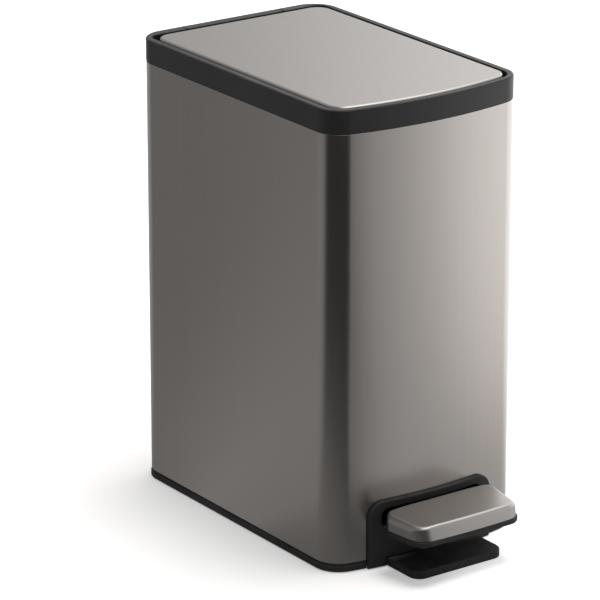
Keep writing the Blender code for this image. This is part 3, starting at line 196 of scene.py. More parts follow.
def loftPiece(name, loops, ring=False):
    shape = bmesh.new()
    rows = [[shape.verts.new(point) for point in loop] for loop in loops]
    skinRows(shape, rows, ring)
    if not ring:
        shape.faces.new(rows[0])
        shape.faces.new(rows[-1])
    return newPiece(name, shape)


def roundedLoop(corners, radii, grow=0, steps=10):
    # an anticlockwise convex outline moved outwards by grow, one number or one for each side
    count = len(corners)
    grows = grow if isinstance(grow, list) else [grow] * count
    edges = []
    for i in range(count):
        start, end = Vector(corners[i]), Vector(corners[(i + 1) % count])
        along = (end - start).normalized()
        edges.append((start + Vector((along.y, -along.x)) * grows[i], along))
    points = []
    for i in range(count):
        before, after = edges[i - 1], edges[i]
        reach = (after[0] - before[0]).cross(after[1]) / before[1].cross(after[1])
        corner = before[0] + before[1] * reach
        radius = max(radii[i] + (grows[i - 1] + grows[i]) / 2, 0)
        if radius == 0:
            points.append(tuple(corner))
            continue
        bend = acos(max(-1, min(1, before[1].dot(after[1]))))
        centre = corner + (after[1] - before[1]).normalized() * radius / cos(bend / 2)
        first = atan2(-before[1].x, before[1].y)
        points += arc(centre.x, centre.y, radius, first, first + bend, steps)
    return points


def rectangle(x0, y0, x1, y1):
    return [(x0, y0), (x1, y0), (x1, y1), (x0, y1)]


def archLoop(half, top, radius):
    # a doorway from under the floor, round at its upper corners
    return roundedLoop(rectangle(-half, -past, half, top), [0, 0, radius, radius])


# where the two coordinates of an outline and the one along an axis go
places = {
    "x": lambda a, b, c: (c, a, b),
    "y": lambda a, b, c: (a, c, b),
    "z": lambda a, b, c: (a, b, c),
}


def slab(name, points, axis, low, high):
    place = places[axis]
    return loftPiece(name, [[place(a, b, end) for a, b in points] for end in (low, high)])


def block(name, low, high):
    return slab(name, rectangle(low[0], low[1], high[0], high[1]), "z", low[2], high[2])


def turnPiece(name, profile, centre, axis="z", steps=48):
    place, loops = places[axis], []
    turns = [2 * pi * i / steps for i in range(steps)]
    for radius, along in profile:
        loops.append([Vector(place(radius * cos(turn), radius * sin(turn), along)) + Vector(centre)
                      for turn in turns])
    return loftPiece(name, loops)


def drill(piece, low, high, centres, axis="z", radius=lines["screwHole"]):
    for centre in centres:
        carve(piece, turnPiece("drill", [(radius, low), (radius, high)], centre, axis, 32))


def bowY(x, proud):
    # where the bowed front lies at x, this far proud of the steel
    return body["bowCentre"] - sqrt((body["bowRadius"] + proud) ** 2 - x ** 2)


def newGroup(name, inputs):
    group = bpy.data.node_groups.new(name, "ShaderNodeTree")
    for label, value in inputs.items():
        kind = "NodeSocketVector" if isinstance(value, tuple) else "NodeSocketFloat"
        group.interface.new_socket(label, in_out="INPUT", socket_type=kind).default_value = value
    return group, group.nodes.new("NodeGroupInput").outputs


def closeGroup(group, **outputs):
    for label in outputs:
        group.interface.new_socket(label, in_out="OUTPUT", socket_type="NodeSocketFloat")
    end = group.nodes.new("NodeGroupOutput").inputs
    for label, value in outputs.items():
        group.links.new(value, end[label])
    return group


def feed(tree, value, socket):
    # links a socket, or sets a number, vector or colour
    if isinstance(value, bpy.types.NodeSocket):
        tree.links.new(value, socket)
    else:
        socket.default_value = value


def mathNode(tree, operation, *values, clamp=False):
    node = tree.nodes.new("ShaderNodeMath")
    node.operation, node.use_clamp = operation, clamp
    for value, socket in zip(values, node.inputs):
        feed(tree, value, socket)
    return node.outputs[0]


def plus(tree, one, two):
    return mathNode(tree, "ADD", one, two)


def minus(tree, one, two):
    return mathNode(tree, "SUBTRACT", one, two)


def times(tree, one, two, clamp=False):
    return mathNode(tree, "MULTIPLY", one, two, clamp=clamp)


def vectorNode(tree, operation, *values):
    node = tree.nodes.new("ShaderNodeVectorMath")
    node.operation = operation
    for value, socket in zip(values, node.inputs):
        feed(tree, value, socket)
    return node.outputs["Value" if operation in ("LENGTH", "DOT_PRODUCT") else "Vector"]


def splitNode(tree, vector):
    node = tree.nodes.new("ShaderNodeSeparateXYZ")
    tree.links.new(vector, node.inputs[0])
    return node.outputs


def ownPlace(tree):
    return tree.nodes.new("ShaderNodeTexCoord").outputs["Object"]


def noiseNode(tree, vector, scale, detail=2, roughness=0.5):
    node = tree.nodes.new("ShaderNodeTexNoise")
    labels = ("Vector", "Scale", "Detail", "Roughness")
    for label, value in zip(labels, (vector, scale, detail, roughness)):
        feed(tree, value, node.inputs[label])
    return node.outputs["Fac"]


def rangeNode(tree, value, fromLow, fromHigh, toLow=0, toHigh=1, smooth=False):
    node = tree.nodes.new("ShaderNodeMapRange")
    node.clamp = True
    if smooth:
        node.interpolation_type = "SMOOTHSTEP"
    labels = ("Value", "From Min", "From Max", "To Min", "To Max")
    for label, number in zip(labels, (value, fromLow, fromHigh, toLow, toHigh)):
        feed(tree, number, node.inputs[label])
    return node.outputs["Result"]


def mixColour(tree, factor, first, second):
    node = tree.nodes.new("ShaderNodeMix")
    node.data_type = "RGBA"
    for place, value in ((0, factor), (6, first), (7, second)):
        feed(tree, (*value, 1) if isinstance(value, tuple) else value, node.inputs[place])
    return node.outputs[2]


brush = dict(fine=0.65, broad=0.35, broadStep=0.08, patchSize=9)


def makeBrushGroup():
    # long fine lines left by the brushing belt, with a slow drift from line to line
    group, start = newGroup("brushLines", {"Stretch": (1, 1, 0.02), "Fineness": 3600, "Drift": 0.5})
    coord, fineness = ownPlace(group), start["Fineness"]
    along = vectorNode(group, "MULTIPLY", coord, start["Stretch"])
    fine = noiseNode(group, along, fineness, 3, 0.6)
    broad = noiseNode(group, along, times(group, fineness, brush["broadStep"]))
    line = plus(group, times(group, fine, brush["fine"]), times(group, broad, brush["broad"]))
    drift = minus(group, noiseNode(group, coord, brush["patchSize"]), 0.5)
    return closeGroup(group, Line=line, Drift=plus(group, times(group, drift, start["Drift"]), 0.5))


edgeHighlight = dict(turn=(0.99, 0.86), patchSize=140, patch=(0.35, 0.7))


def makeEdgeGroup():
    # painted highlight along an outer edge: lighter where the rounded normal turns away from the face's own,
    # broken up in patches
    group, start = newGroup("paintedEdgeHighlight", {"Reach": 0.0008, "Break Up": 0.6, "Amount": 0.5})
    rounded = group.nodes.new("ShaderNodeBevel")
    rounded.samples = 4
    group.links.new(start["Reach"], rounded.inputs["Radius"])
    own = group.nodes.new("ShaderNodeNewGeometry").outputs["Normal"]
    edge = rangeNode(group, vectorNode(group, "DOT_PRODUCT", rounded.outputs["Normal"], own), *edgeHighlight["turn"])
    noise = noiseNode(group, ownPlace(group), edgeHighlight["patchSize"], 3, 0.6)
    bare = times(group, start["Break Up"], minus(group, 1, rangeNode(group, noise, *edgeHighlight["patch"])))
    mask = times(group, edge, minus(group, 1, bare))
    return closeGroup(group, Mask=times(group, mask, start["Amount"], clamp=True))


mould = dict(fine=0.6, cells=0.4, cellStep=0.55, speck=(0.3, 0.7))


def makeMouldGroup():
    # the fine spark-eroded texture of a moulded part, and the slow flow marks in its colour
    group, start = newGroup("mouldTexture", {"Fineness": 2200, "Flow": 14})
    coord, fineness = ownPlace(group), start["Fineness"]
    fine = noiseNode(group, coord, fineness, 2, 0.6)
    cells = group.nodes.new("ShaderNodeTexVoronoi")
    cells.feature = "SMOOTH_F1"
    group.links.new(coord, cells.inputs["Vector"])
    group.links.new(times(group, fineness, mould["cellStep"]), cells.inputs["Scale"])
    pits = times(group, cells.outputs["Distance"], mould["cells"])
    height = plus(group, times(group, fine, mould["fine"]), pits)
    flow = noiseNode(group, coord, start["Flow"], 3, 0.55)
    return closeGroup(group, Height=height, Flow=flow, Speckle=rangeNode(group, fine, *mould["speck"]))


dust = dict(upward=(0.3, 1), patch=(0.4, 0.75), speckSize=900, speck=(0.62, 0.75), specks=0.5)


def makeDustGroup():
    # a thin film of dust on what faces up, thicker where it gathers
    group, start = newGroup("dustFilm", {"Amount": 0.3, "Patch Size": 30})
    normal, coord = group.nodes.new("ShaderNodeNewGeometry").outputs["Normal"], ownPlace(group)
    up = rangeNode(group, splitNode(group, normal)["Z"], *dust["upward"])
    patch = rangeNode(group, noiseNode(group, coord, start["Patch Size"], 5, 0.65), *dust["patch"])
    specks = rangeNode(group, noiseNode(group, coord, dust["speckSize"], 1), *dust["speck"])
    film = plus(group, patch, times(group, specks, dust["specks"]))
    return closeGroup(group, Mask=times(group, times(group, film, up), start["Amount"], clamp=True))


brushLines = makeBrushGroup()
paintedEdgeHighlight = makeEdgeGroup()
mouldTexture = makeMouldGroup()
dustFilm = makeDustGroup()
print("effects ready")


def startMaterial(name):
    material = bpy.data.materials.new(name)
    material.use_nodes = True
    return material, material.node_tree, material.node_tree.nodes["Principled BSDF"]


def placeGroup(tree, group, **values):
    node = tree.nodes.new("ShaderNodeGroup")
    node.node_tree = group
    for label, value in values.items():
        node.inputs[label.replace("_", " ")].default_value = value
    return node


def coverWith(tree, shader, base, rough, height, depth, strength):
    # links a colour, a roughness and a height into the shader
    bump = tree.nodes.new("ShaderNodeBump")
    bump.inputs["Distance"].default_value = depth
    bump.inputs["Strength"].default_value = strength
    tree.links.new(height, bump.inputs["Height"])
    for socket, label in ((base, "Base Color"), (rough, "Roughness"), (bump.outputs["Normal"], "Normal")):
        tree.links.new(socket, shader.inputs[label])


def tinted(colour, factor, lift=0):
    return tuple(min(c * factor + lift, 1) for c in colour)


steel = dict(
    colour=(0.430, 0.400, 0.377), cool=(0.97, 0.985, 1.0), coolShare=0.35, edgeLight=1.35, edgeReach=0.0007,
    edgeSmooth=0.08, roughSpread=0.02, touchSize=22, touch=(0.5, 0.72), touchRough=0.05,
    depth=0.00004, strength=0.08,
)


def makeSteel(name, stretch, colour, roughness, drift=0.35, edgeShine=0.35, smudge=0.3, lineShare=0.035):
    material, tree, shader = startMaterial(name)
    brushed = placeGroup(tree, brushLines, Stretch=stretch, Drift=drift).outputs
    edge = placeGroup(tree, paintedEdgeHighlight, Reach=steel["edgeReach"], Amount=edgeShine).outputs["Mask"]
    line, spread = rangeNode(tree, brushed["Line"], 0.3, 0.7), steel["roughSpread"]
    base = mixColour(tree, line, tinted(colour, 1 - lineShare), tinted(colour, 1 + lineShare))
    cool = tuple(c * share for c, share in zip(colour, steel["cool"]))
    base = mixColour(tree, rangeNode(tree, brushed["Drift"], 0.3, 0.7, 0, steel["coolShare"]), base, cool)
    # painted highlight: the steel's colour lighter along its outer edges
    base = mixColour(tree, edge, base, tinted(colour, steel["edgeLight"]))
    touch = noiseNode(tree, ownPlace(tree), steel["touchSize"], 4, 0.6)
    touch = rangeNode(tree, touch, *steel["touch"], smooth=True)
    rough = rangeNode(tree, brushed["Line"], 0.3, 0.7, roughness - spread, roughness + spread)
    rough = plus(tree, rough, times(tree, touch, steel["touchRough"] * smudge))
    rough = minus(tree, rough, times(tree, edge, steel["edgeSmooth"]))
    shader.inputs["Metallic"].default_value = 1
    coverWith(tree, shader, base, rough, brushed["Line"], steel["depth"], steel["strength"])
    return material


plastic = dict(
    dark=0.86, light=1.14, edgeLight=1.6, edgeLightLift=0.01, edgeReach=0.0006, edgeSmooth=0.12, roughLess=0.03,
    roughMore=0.05, dustColour=(0.30, 0.29, 0.27), dustRough=0.35, strength=0.6,
)


def makePlastic(name, colour, roughness, fineness=2200, depth=0.00003, edgeShine=0.25, dusty=0.15, shine=0.5):
    material, tree, shader = startMaterial(name)
    texture = placeGroup(tree, mouldTexture, Fineness=fineness).outputs
    edge = placeGroup(tree, paintedEdgeHighlight, Reach=plastic["edgeReach"], Amount=edgeShine).outputs["Mask"]
    film = placeGroup(tree, dustFilm, Amount=dusty).outputs["Mask"]
    flow = rangeNode(tree, texture["Flow"], 0.3, 0.7)
    base = mixColour(tree, flow, tinted(colour, plastic["dark"]), tinted(colour, plastic["light"]))
    # painted highlight: the plastic's colour lighter along its outer edges
    base = mixColour(tree, edge, base, tinted(colour, plastic["edgeLight"], plastic["edgeLightLift"]))
    base = mixColour(tree, film, base, plastic["dustColour"])
    low, high = roughness - plastic["roughLess"], roughness + plastic["roughMore"]
    rough = rangeNode(tree, texture["Speckle"], 0, 1, low, high)
    rough = plus(tree, rough, times(tree, film, plastic["dustRough"]))
    rough = minus(tree, rough, times(tree, edge, plastic["edgeSmooth"]))
    shader.inputs["Specular IOR Level"].default_value = shine
    coverWith(tree, shader, base, rough, texture["Height"], depth, plastic["strength"])
    return material


wrapSteel = makeSteel("brushedSteelWrap", (1, 1, 0.012), steel["colour"], 0.24)
lidSteel = makeSteel("brushedSteelLid", (1, 0.012, 1), steel["colour"], 0.28, smudge=0.4, lineShare=0.018)
pedalSteel = makeSteel("brushedSteelPedal", (0.02, 1, 1), (0.405, 0.386, 0.370), 0.33, edgeShine=0.6, smudge=0.6)
zincPlate = makeSteel(
    "zincPlate", (0.4, 0.4, 0.4), (0.52, 0.52, 0.50), 0.36, drift=0.9, edgeShine=0.5, lineShare=0.06)
rimBlack = makePlastic("satinBlackRim", (0.021, 0.020, 0.020), 0.44, shine=0.34)
footBlack = makePlastic("satinBlackBase", (0.027, 0.025, 0.025), 0.58, edgeShine=0.3, dusty=0.2, shine=0.22)
innerBlack = makePlastic("innerBlack", (0.032, 0.032, 0.033), 0.55, fineness=1500, dusty=0.12)
naturalNylon = makePlastic("naturalNylon", (0.62, 0.61, 0.57), 0.42, edgeShine=0.1, dusty=0.05)
rubberBlack = makePlastic(
    "rubberBlack", (0.015, 0.015, 0.015), 0.82, fineness=1200, depth=0.00006, edgeShine=0.1, shine=0.3)
print("finishes ready")


def dress(piece, carrier, material, finish, *replaced):
    piece.data.materials.clear()
    piece.data.materials.append(material)
    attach(piece, carrier)
    if replaced:
        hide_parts(*replaced)
    return piece


# The steel wrap: one sheet bent round the body, joined by a fine seam at the rear, open for the arch
wrap = dict(
    low=0.0068, high=0.3234, sheet=0.0008, hem=0.00025, seamHalf=0.0002, seamDepth=0.0005, seamProud=0.0002,
    seamTop=0.4, openHalf=0.0518, openTop=0.0482, openRadius=0.0103,
)


def makeWrap():
    hem, half, rear = wrap["hem"], wrap["seamHalf"], body["rear"]
    profile = turnUnder(0, wrap["low"], hem, 3) + turnEdge(0, wrap["high"], hem, 3)
    profile += [(wrap["sheet"], wrap["high"]), (wrap["sheet"], wrap["low"])]
    piece = loftPiece("steelWrap", planLoops(bodyPlan, profile), ring=True)
    opening = archLoop(wrap["openHalf"], wrap["openTop"], wrap["openRadius"])
    carve(piece, slab("wrapOpening", opening, "y", body["front"] - past, lines["axleY"]))
    seam = rectangle(-half, rear - wrap["seamDepth"], half, rear + wrap["seamProud"])
    carve(piece, slab("wrapSeam", seam, "z", 0, wrap["seamTop"]))
    return dress(evenNormals(piece), "bin", wrapSteel, "brushed_steel", "outer_shell")


makeWrap()
print("wrap ready")


# The black rim: a skirt inside the wrap, the band that shows, and the ledge under the lid
rim = dict(
    low=0.3237, skirtLow=0.2997, proud=0.0002, edge=0.0014, innerEdge=0.0006, foot=0.0003,
    ledgeTop=0.3258, ledgeLow=0.3233, ledgeRear=0.084406, ledgeGrow=0.0005, ledgeRadius=0.0015,
    ledgeSoft=0.0006, coverHalf=0.043, coverLow=0.3266, coverWall=0.002, coverGap=0.0007, join=0.0004,
    screwDepth=0.0061, screwZ=0.3063,
)


def makeRim():
    top, proud, grow, soft = body["height"], rim["proud"], rim["ledgeGrow"], rim["ledgeSoft"]
    outer = [(body["inside"], rim["skirtLow"]), (body["inside"], rim["low"])]
    outer += turnUnder(-proud, rim["low"], rim["foot"], 3) + turnEdge(-proud, top, rim["edge"], 8)
    inner = facingIn([(0, rim["skirtLow"])] + turnEdge(0, top, rim["innerEdge"], 5))[::-1]
    piece = loftPiece("rimFrame", planLoops(bodyPlan, outer) + planLoops(rimHole, inner), ring=True)
    ledgeOut = (rimHole[0] + grow, rimHole[1] - grow, rim["ledgeRear"], rimHole[3] + grow)
    ledgeOut += (rim["ledgeRadius"],)
    loops = planLoops(ledgeOut, [(0, rim["ledgeLow"]), (0, rim["ledgeTop"])])
    loops += planLoops(ledgeHole, facingIn(turnEdge(0, rim["ledgeTop"], soft, 4)[::-1]))
    loops += planLoops(ledgeHole, facingIn(turnUnder(0, rim["ledgeLow"], soft, 4)[::-1]))
    fuse(piece, loftPiece("rimLedge", loops, ring=True))
    half = rim["coverHalf"] + rim["coverGap"]
    low = (-half, rimHole[2] - past, rim["coverLow"] - body["gap"])
    carve(piece, block("rimCoverRoom", low, (half, body["rear"] + past, top + past)))
    centres = [(x, rimHole[2], rim["screwZ"]) for x in lines["screwX"]]
    drill(piece, -past, rim["screwDepth"], centres, "y")
    return dress(evenNormals(piece), "bin", rimBlack, "black_plastic", "rim_collar")


def makeCover():
    # the cap over the hinge in the rear of the rim, with a parting groove at each end
    front, rear, top, low = rimHole[2], body["rear"] + rim["proud"], body["height"], rim["coverLow"]
    wall, soft, half = rim["coverWall"], rim["join"], rim["coverHalf"]
    points = [(rear - wall, low), (rear, low)]
    points += [(rear - inset, z) for inset, z in turnEdge(0, top, rim["edge"], 8)]
    points += [(front + inset, z) for inset, z in turnEdge(0, top, rim["innerEdge"], 5)[::-1]]
    points += [(front, low), (front + wall, low), (front + wall, top - wall), (rear - wall, top - wall)]
    ends = [(-half, soft), (-half + soft, 0), (half - soft, 0), (half, soft)]
    square = [0] * len(points)
    loops = [[(x, y, z) for y, z in roundedLoop(points, square, -shrink)] for x, shrink in ends]
    return dress(evenNormals(loftPiece("hingeCap", loops)), "bin", rimBlack, "black_plastic", "hinge_cover")


makeRim()
makeCover()
print("rim ready")


# The lid: a pressed steel skin over a plastic tray
lid = dict(
    top=0.3414, edge=0.0020, skirt=0.0115, sheet=0.0008, hem=0.0003, rings=(0.002, 0.012), roomTop=0.3378,
    linerLow=0.3278, linerFloor=0.0023, linerWall=0.002, linerEdge=0.002, linerRing=0.004, linerSoft=0.0004,
    hingeHalf=0.044, armReach=0.018, armTurn=39, armRoom=0.004,
    panelInset=0.016, panelRear=0.060, panelRadius=0.006,
    panelSteps=((-0.0008, -0.002), (-0.0008, -0.0001), (0.0006, 0.0005), (0.0010, 0.0007)),
    screwX=(-0.026, 0, 0.026), screwY=0.075, screwDepth=0.0136,
)


def makeLidSkin():
    top, sheet, low, half = lid["top"], lid["sheet"], lid["top"] - lid["skirt"], lid["hingeHalf"]
    inner = turnEdge(sheet, top - sheet, lid["edge"] - sheet, 5)
    profile = inner[::-1] + [(sheet, low)] + turnUnder(0, low, lid["hem"], 3)
    profile += turnEdge(0, top, lid["edge"], 10)
    profile += [(lid["edge"] + step, top) for step in lid["rings"]]      # for even shading on top
    piece = loftPiece("lidPanel", planLoops(lidPlan, profile))
    low, high = (-half, lines["hingeY"], lid["linerLow"] - past), (half, lidPlan[2] + past, lid["roomTop"])
    carve(piece, block("lidHingeRoom", low, high))
    return dress(evenNormals(piece), "lid", lidSteel, "brushed_steel", "lid_skin")


def makeLiner():
    side, low, half, soft = lid["sheet"] + body["gap"], lid["linerLow"], lid["hingeHalf"], lid["linerSoft"]
    top, inside = lid["top"] - lid["edge"], side + lid["linerWall"]
    profile = [(side + lid["linerEdge"] + lid["linerRing"], low)]
    profile += turnUnder(side, low, lid["linerEdge"], 6)
    profile += [(side, top - soft), (side + soft, top), (inside, top), (inside, low + lid["linerFloor"])]
    piece = loftPiece("lidTray", planLoops(lidPlan, profile))
    panel = (lidPlan[0] - lid["panelInset"], lidPlan[1] + lid["panelInset"], lid["panelRear"])
    panel += (lid["panelRadius"], lid["panelRadius"])
    sunk = [(inset, low + rise) for inset, rise in lid["panelSteps"]]
    carve(piece, loftPiece("lidTrayPanel", planLoops(panel, sunk)))
    front = lines["hingeY"] - lid["armReach"] * cos(radians(lid["armTurn"])) - lid["armRoom"]
    high = (half, lidPlan[2] + past, lid["top"])
    carve(piece, block("lidTrayHingeRoom", (-half, front, low - past), high))
    drill(piece, -past, lid["screwDepth"], [(x, lid["screwY"], low) for x in lid["screwX"]])
    return dress(evenNormals(piece), "lid", rimBlack, "black_plastic", "lid_liner")


makeLidSkin()
makeLiner()
print("lid ready")


# The bucket: drafted walls, a turned lip, soft bottom edges and a finger slot in each side
bucket = dict(
    clearance=0.0008, lipWidth=0.0017, lipHeight=0.003, lipEdge=0.0005, soft=0.0004, draft=0.0045,
    wall=0.0018, floor=0.0022, floorRing=0.008, footRing=0.010, low=0.0548, top=0.3228, footRound=0.003,
    slotLength=0.07, slotHeight=0.018, slotDrop=0.025, slotReach=0.08, eased=0.0004, easedTurn=50,
)


def makeBucket():
    low, top, draft, lip = bucket["low"], bucket["top"], bucket["draft"], bucket["lipWidth"]
    bend, soft, edge = bucket["footRound"], bucket["soft"], bucket["lipEdge"]
    inside, floor, lipLow = lip + bucket["wall"], low + bucket["floor"], top - bucket["lipHeight"]
    profile = [(inside + draft + bucket["floorRing"], floor)] + turnUnder(inside + draft, floor, bend, 5)
    profile += [(inside, top - soft), (inside - soft, top), (edge, top), (0, top - edge)]
    profile += [(0, lipLow + soft), (soft, lipLow), (lip, lipLow)]
    profile += turnUnder(lip + draft, low, bend, 5)[::-1] + [(lip + draft + bucket["footRing"], low)]
    profile = [(bucket["clearance"] + inset, z) for inset, z in profile]
    piece = loftPiece("bucketShell", planLoops(ledgeHole, profile))
    radius, wide = bucket["slotHeight"] / 2, bucket["slotReach"]
    z, reach = top - bucket["slotDrop"], bucket["slotLength"] / 2 - radius
    slot = arc(reach, z, radius, -pi / 2, pi / 2, 14) + arc(-reach, z, radius, pi / 2, pi * 3 / 2, 14)
    carve(piece, slab("bucketSlot", slot, "x", -wide, wide))
    easeEdges(piece, bucket["eased"], bucket["easedTurn"])
    return dress(piece, "bin", innerBlack, "inner_plastic", "inner_bucket")


makeBucket()
print("bucket ready")


# The base: floor trim with its neck, deck, corner posts and the plate under the pedal
base = dict(
    lift=0.0005, trim=0.0065, face=0.0043, proud=0.0005, neck=0.0006, wall=0.0025,
    wallRing=0.01, wallSoft=0.0015, trimSoft=0.0007, faceSoft=0.0005, neckStep=0.0002, deckSoft=0.001,
    deck=0.0545, deckThick=0.0022, postRadius=0.0075, postDrop=0.0011, rubber=0.0055, seat=0.003,
    plateHalf=0.0392, plateReach=0.0350, plateTop=0.0067, plateCorner=0.009, plateEdge=0.0012,
    plateSoft=0.0006, plateRear=0.0005, barDepth=0.009, padRadius=0.006, padThick=0.0022, padY=-0.1480,
    archHalf=0.054, archTop=0.0504, archRadius=0.0125, rodHole=0.0039, axleHoles=(-0.080, -0.064),
    lugHoleLow=-0.004,
)


def postPlaces():
    frontX, rearX = (body["halfWidth"] - body[size] for size in ("frontRadius", "rearRadius"))
    frontY = body["bowCentre"] - sqrt((body["bowRadius"] - body["frontRadius"]) ** 2 - frontX ** 2)
    shift = base["wall"] / 2 - body["inside"] - base["wall"] - base["postRadius"]
    ends = (("front", frontX, frontY, -1), ("rear", rearX, body["rear"] - body["rearRadius"], 1))
    found = []
    for end, x, y, way in ends:
        reach = (body[end + "Radius"] + shift) * sin(pi / 4)
        y += way * reach
        found += [(end + "_left", -x - reach, y), (end + "_right", x + reach, y)]
    return found


def makeBase():
    wallIn, lift, proud, gap = body["inside"] + base["wall"], base["lift"], base["proud"], body["gap"]
    step, neck, deckLow = lift + base["face"], base["neck"], base["deck"] - base["deckThick"]
    profile = [(wallIn + base["wallRing"], deckLow), (wallIn, deckLow - base["wallSoft"]), (wallIn, lift)]
    profile += turnUnder(-proud, lift, base["trimSoft"], 4) + turnEdge(-proud, step, base["faceSoft"], 4)
    profile += [(neck, step + base["neckStep"]), (neck, base["trim"]), (body["inside"], base["trim"])]
    profile += turnEdge(body["inside"], base["deck"], base["deckSoft"], 3)
    piece = loftPiece("basePan", planLoops(bodyPlan, profile))
    arch = archLoop(base["archHalf"] + gap, base["archTop"] + gap, base["archRadius"] + gap)
    rear, half, corner = lines["crossbarRear"], base["plateHalf"], base["plateCorner"]
    carve(piece, slab("baseArch", arch, "y", body["front"] - past, rear))
    corners = rectangle(-half, body["front"] - base["plateReach"], half, rear - base["plateRear"])
    profile = turnUnder(0, lift, base["plateSoft"], 3) + turnEdge(0, base["plateTop"], base["plateEdge"], 5)
    loops = [atLevel(roundedLoop(corners, [corner, corner, 0, 0], -inset), z) for inset, z in profile]
    fuse(piece, loftPiece("basePlate", loops))
    frontX = body["halfWidth"] - body["frontRadius"]
    low, high = (-frontX, rear - base["barDepth"], lift), (frontX, rear, base["plateTop"])
    fuse(piece, block("baseBar", low, high))
    posts = [(x, y, 0) for _, x, y in postPlaces()]
    for post in posts:
        profile = [(base["postRadius"], lift), (base["postRadius"], base["deck"] - base["postDrop"])]
        fuse(piece, turnPiece("basePost", profile, post, steps=32))
    drill(piece, -past, base["seat"], posts, radius=base["rubber"] + gap)
    low, high = deckLow - past, base["deck"] + past
    drill(piece, low, high, [(0, lines["rodY"], 0)], radius=base["rodHole"])
    drill(piece, low, high, [(0, y, 0) for y in base["axleHoles"]])
    lugs = [(x, rear - lines["lugScrewIn"], base["plateTop"]) for x in lines["screwX"]]
    drill(piece, base["lugHoleLow"], past, lugs)
    drill(piece, -past, base["padThick"] + gap, [(0, base["padY"], 0)], radius=base["padRadius"] + gap)
    return dress(evenNormals(piece), "bin", footBlack, "black_plastic", "base_pan")


makeBase()
print("base ready")


# The arched surround, bowed with the front; its window and the notch for the pedal's neck
surround = dict(
    half=0.054, top=0.0504, radius=0.0125, proud=0.003, lap=0.0022, depth=0.0075, edge=0.0011,
    windowHalf=0.044, windowTop=0.0448, sill=0.0306, windowRadius=0.006, notchHalf=0.020,
    notchSill=0.012, lugIn=0.024, lugOut=0.036, lugThick=0.003, lugDepth=0.0095, barRoom=0.0093,
    screwDepth=0.006, stride=0.004, sharp=36,
)


def archOutline(inset, low):
    # round the arch, stepping over the pedal's plate at the foot
    half, top, radius = surround["half"] - inset, surround["top"] - inset, surround["radius"] - inset
    plateHalf, plateTop = base["plateHalf"] + body["gap"] + inset, base["plateTop"] + body["gap"] + inset
    low = low + inset
    points = [(-half, low), (-plateHalf, low), (-plateHalf, plateTop), (plateHalf, plateTop),
              (plateHalf, low), (half, low)]
    return points + archCorners(half, top, radius, 12)


def windowOutline(grow):
    half, top, sill = surround["windowHalf"] + grow, surround["windowTop"] + grow, surround["sill"] - grow
    notch, foot = surround["notchHalf"] + grow, surround["notchSill"] - grow
    radius, small = surround["windowRadius"] + grow, surround["windowRadius"] / 2 + grow
    points = [(-notch, foot), (notch, foot), (notch, sill)]
    points += arc(half - small, sill + small, small, -pi / 2, 0, 6)
    points += archCorners(half, top, radius, 8)
    points += arc(-half + small, sill + small, small, pi, pi * 3 / 2, 6)
    return points + [(-notch, sill)]


def sideCounts(points):
    # how many points each side takes at the surround's stride
    ends = points[1:] + points[:1]
    sides = [(Vector(end) - Vector(start)).length for start, end in zip(points, ends)]
    return [max(1, round(side / surround["stride"])) for side in sides]


def spread(points, counts):
    result = []
    for i, (x, y) in enumerate(points):
        endX, endY = points[(i + 1) % len(points)]
        for k in range(counts[i]):
            result.append((x + (endX - x) * k / counts[i], y + (endY - y) * k / counts[i]))
    return result


def insideLoop(point, loop):
    inside = False
    for i, one in enumerate(loop):
        two = loop[i - 1]
        if (one.y > point.y) != (two.y > point.y):
            if point.x < (two.x - one.x) * (point.y - one.y) / (two.y - one.y) + one.x:
                inside = not inside
    return inside


def closeFace(shape, outer, inner, reach):
    # the flat between the arch's outline and the window's, in small faces that follow the bow
    rims = outer + inner
    flat = [Vector((vert.co.x, vert.co.z)) for vert in rims]
    outside, window = len(outer), len(inner)
    edges = [(i, (i + 1) % outside) for i in range(outside)]
    edges += [(outside + i, outside + (i + 1) % window) for i in range(window)]
    found, _, faces, sources = delaunay_2d_cdt(flat, edges, [], 2, 1e-7)[:4]
    made = []
    for point, source in zip(found, sources):
        if source:
            made.append(rims[source[0]])
        else:
            made.append(shape.verts.new((point.x, bowY(point.x, reach), point.y)))
    for face in faces:
        middle = sum((found[i] for i in face), Vector((0, 0))) / len(face)
        if insideLoop(middle, flat[:outside]) and not insideLoop(middle, flat[outside:]):
            shape.faces.new([made[i] for i in face])


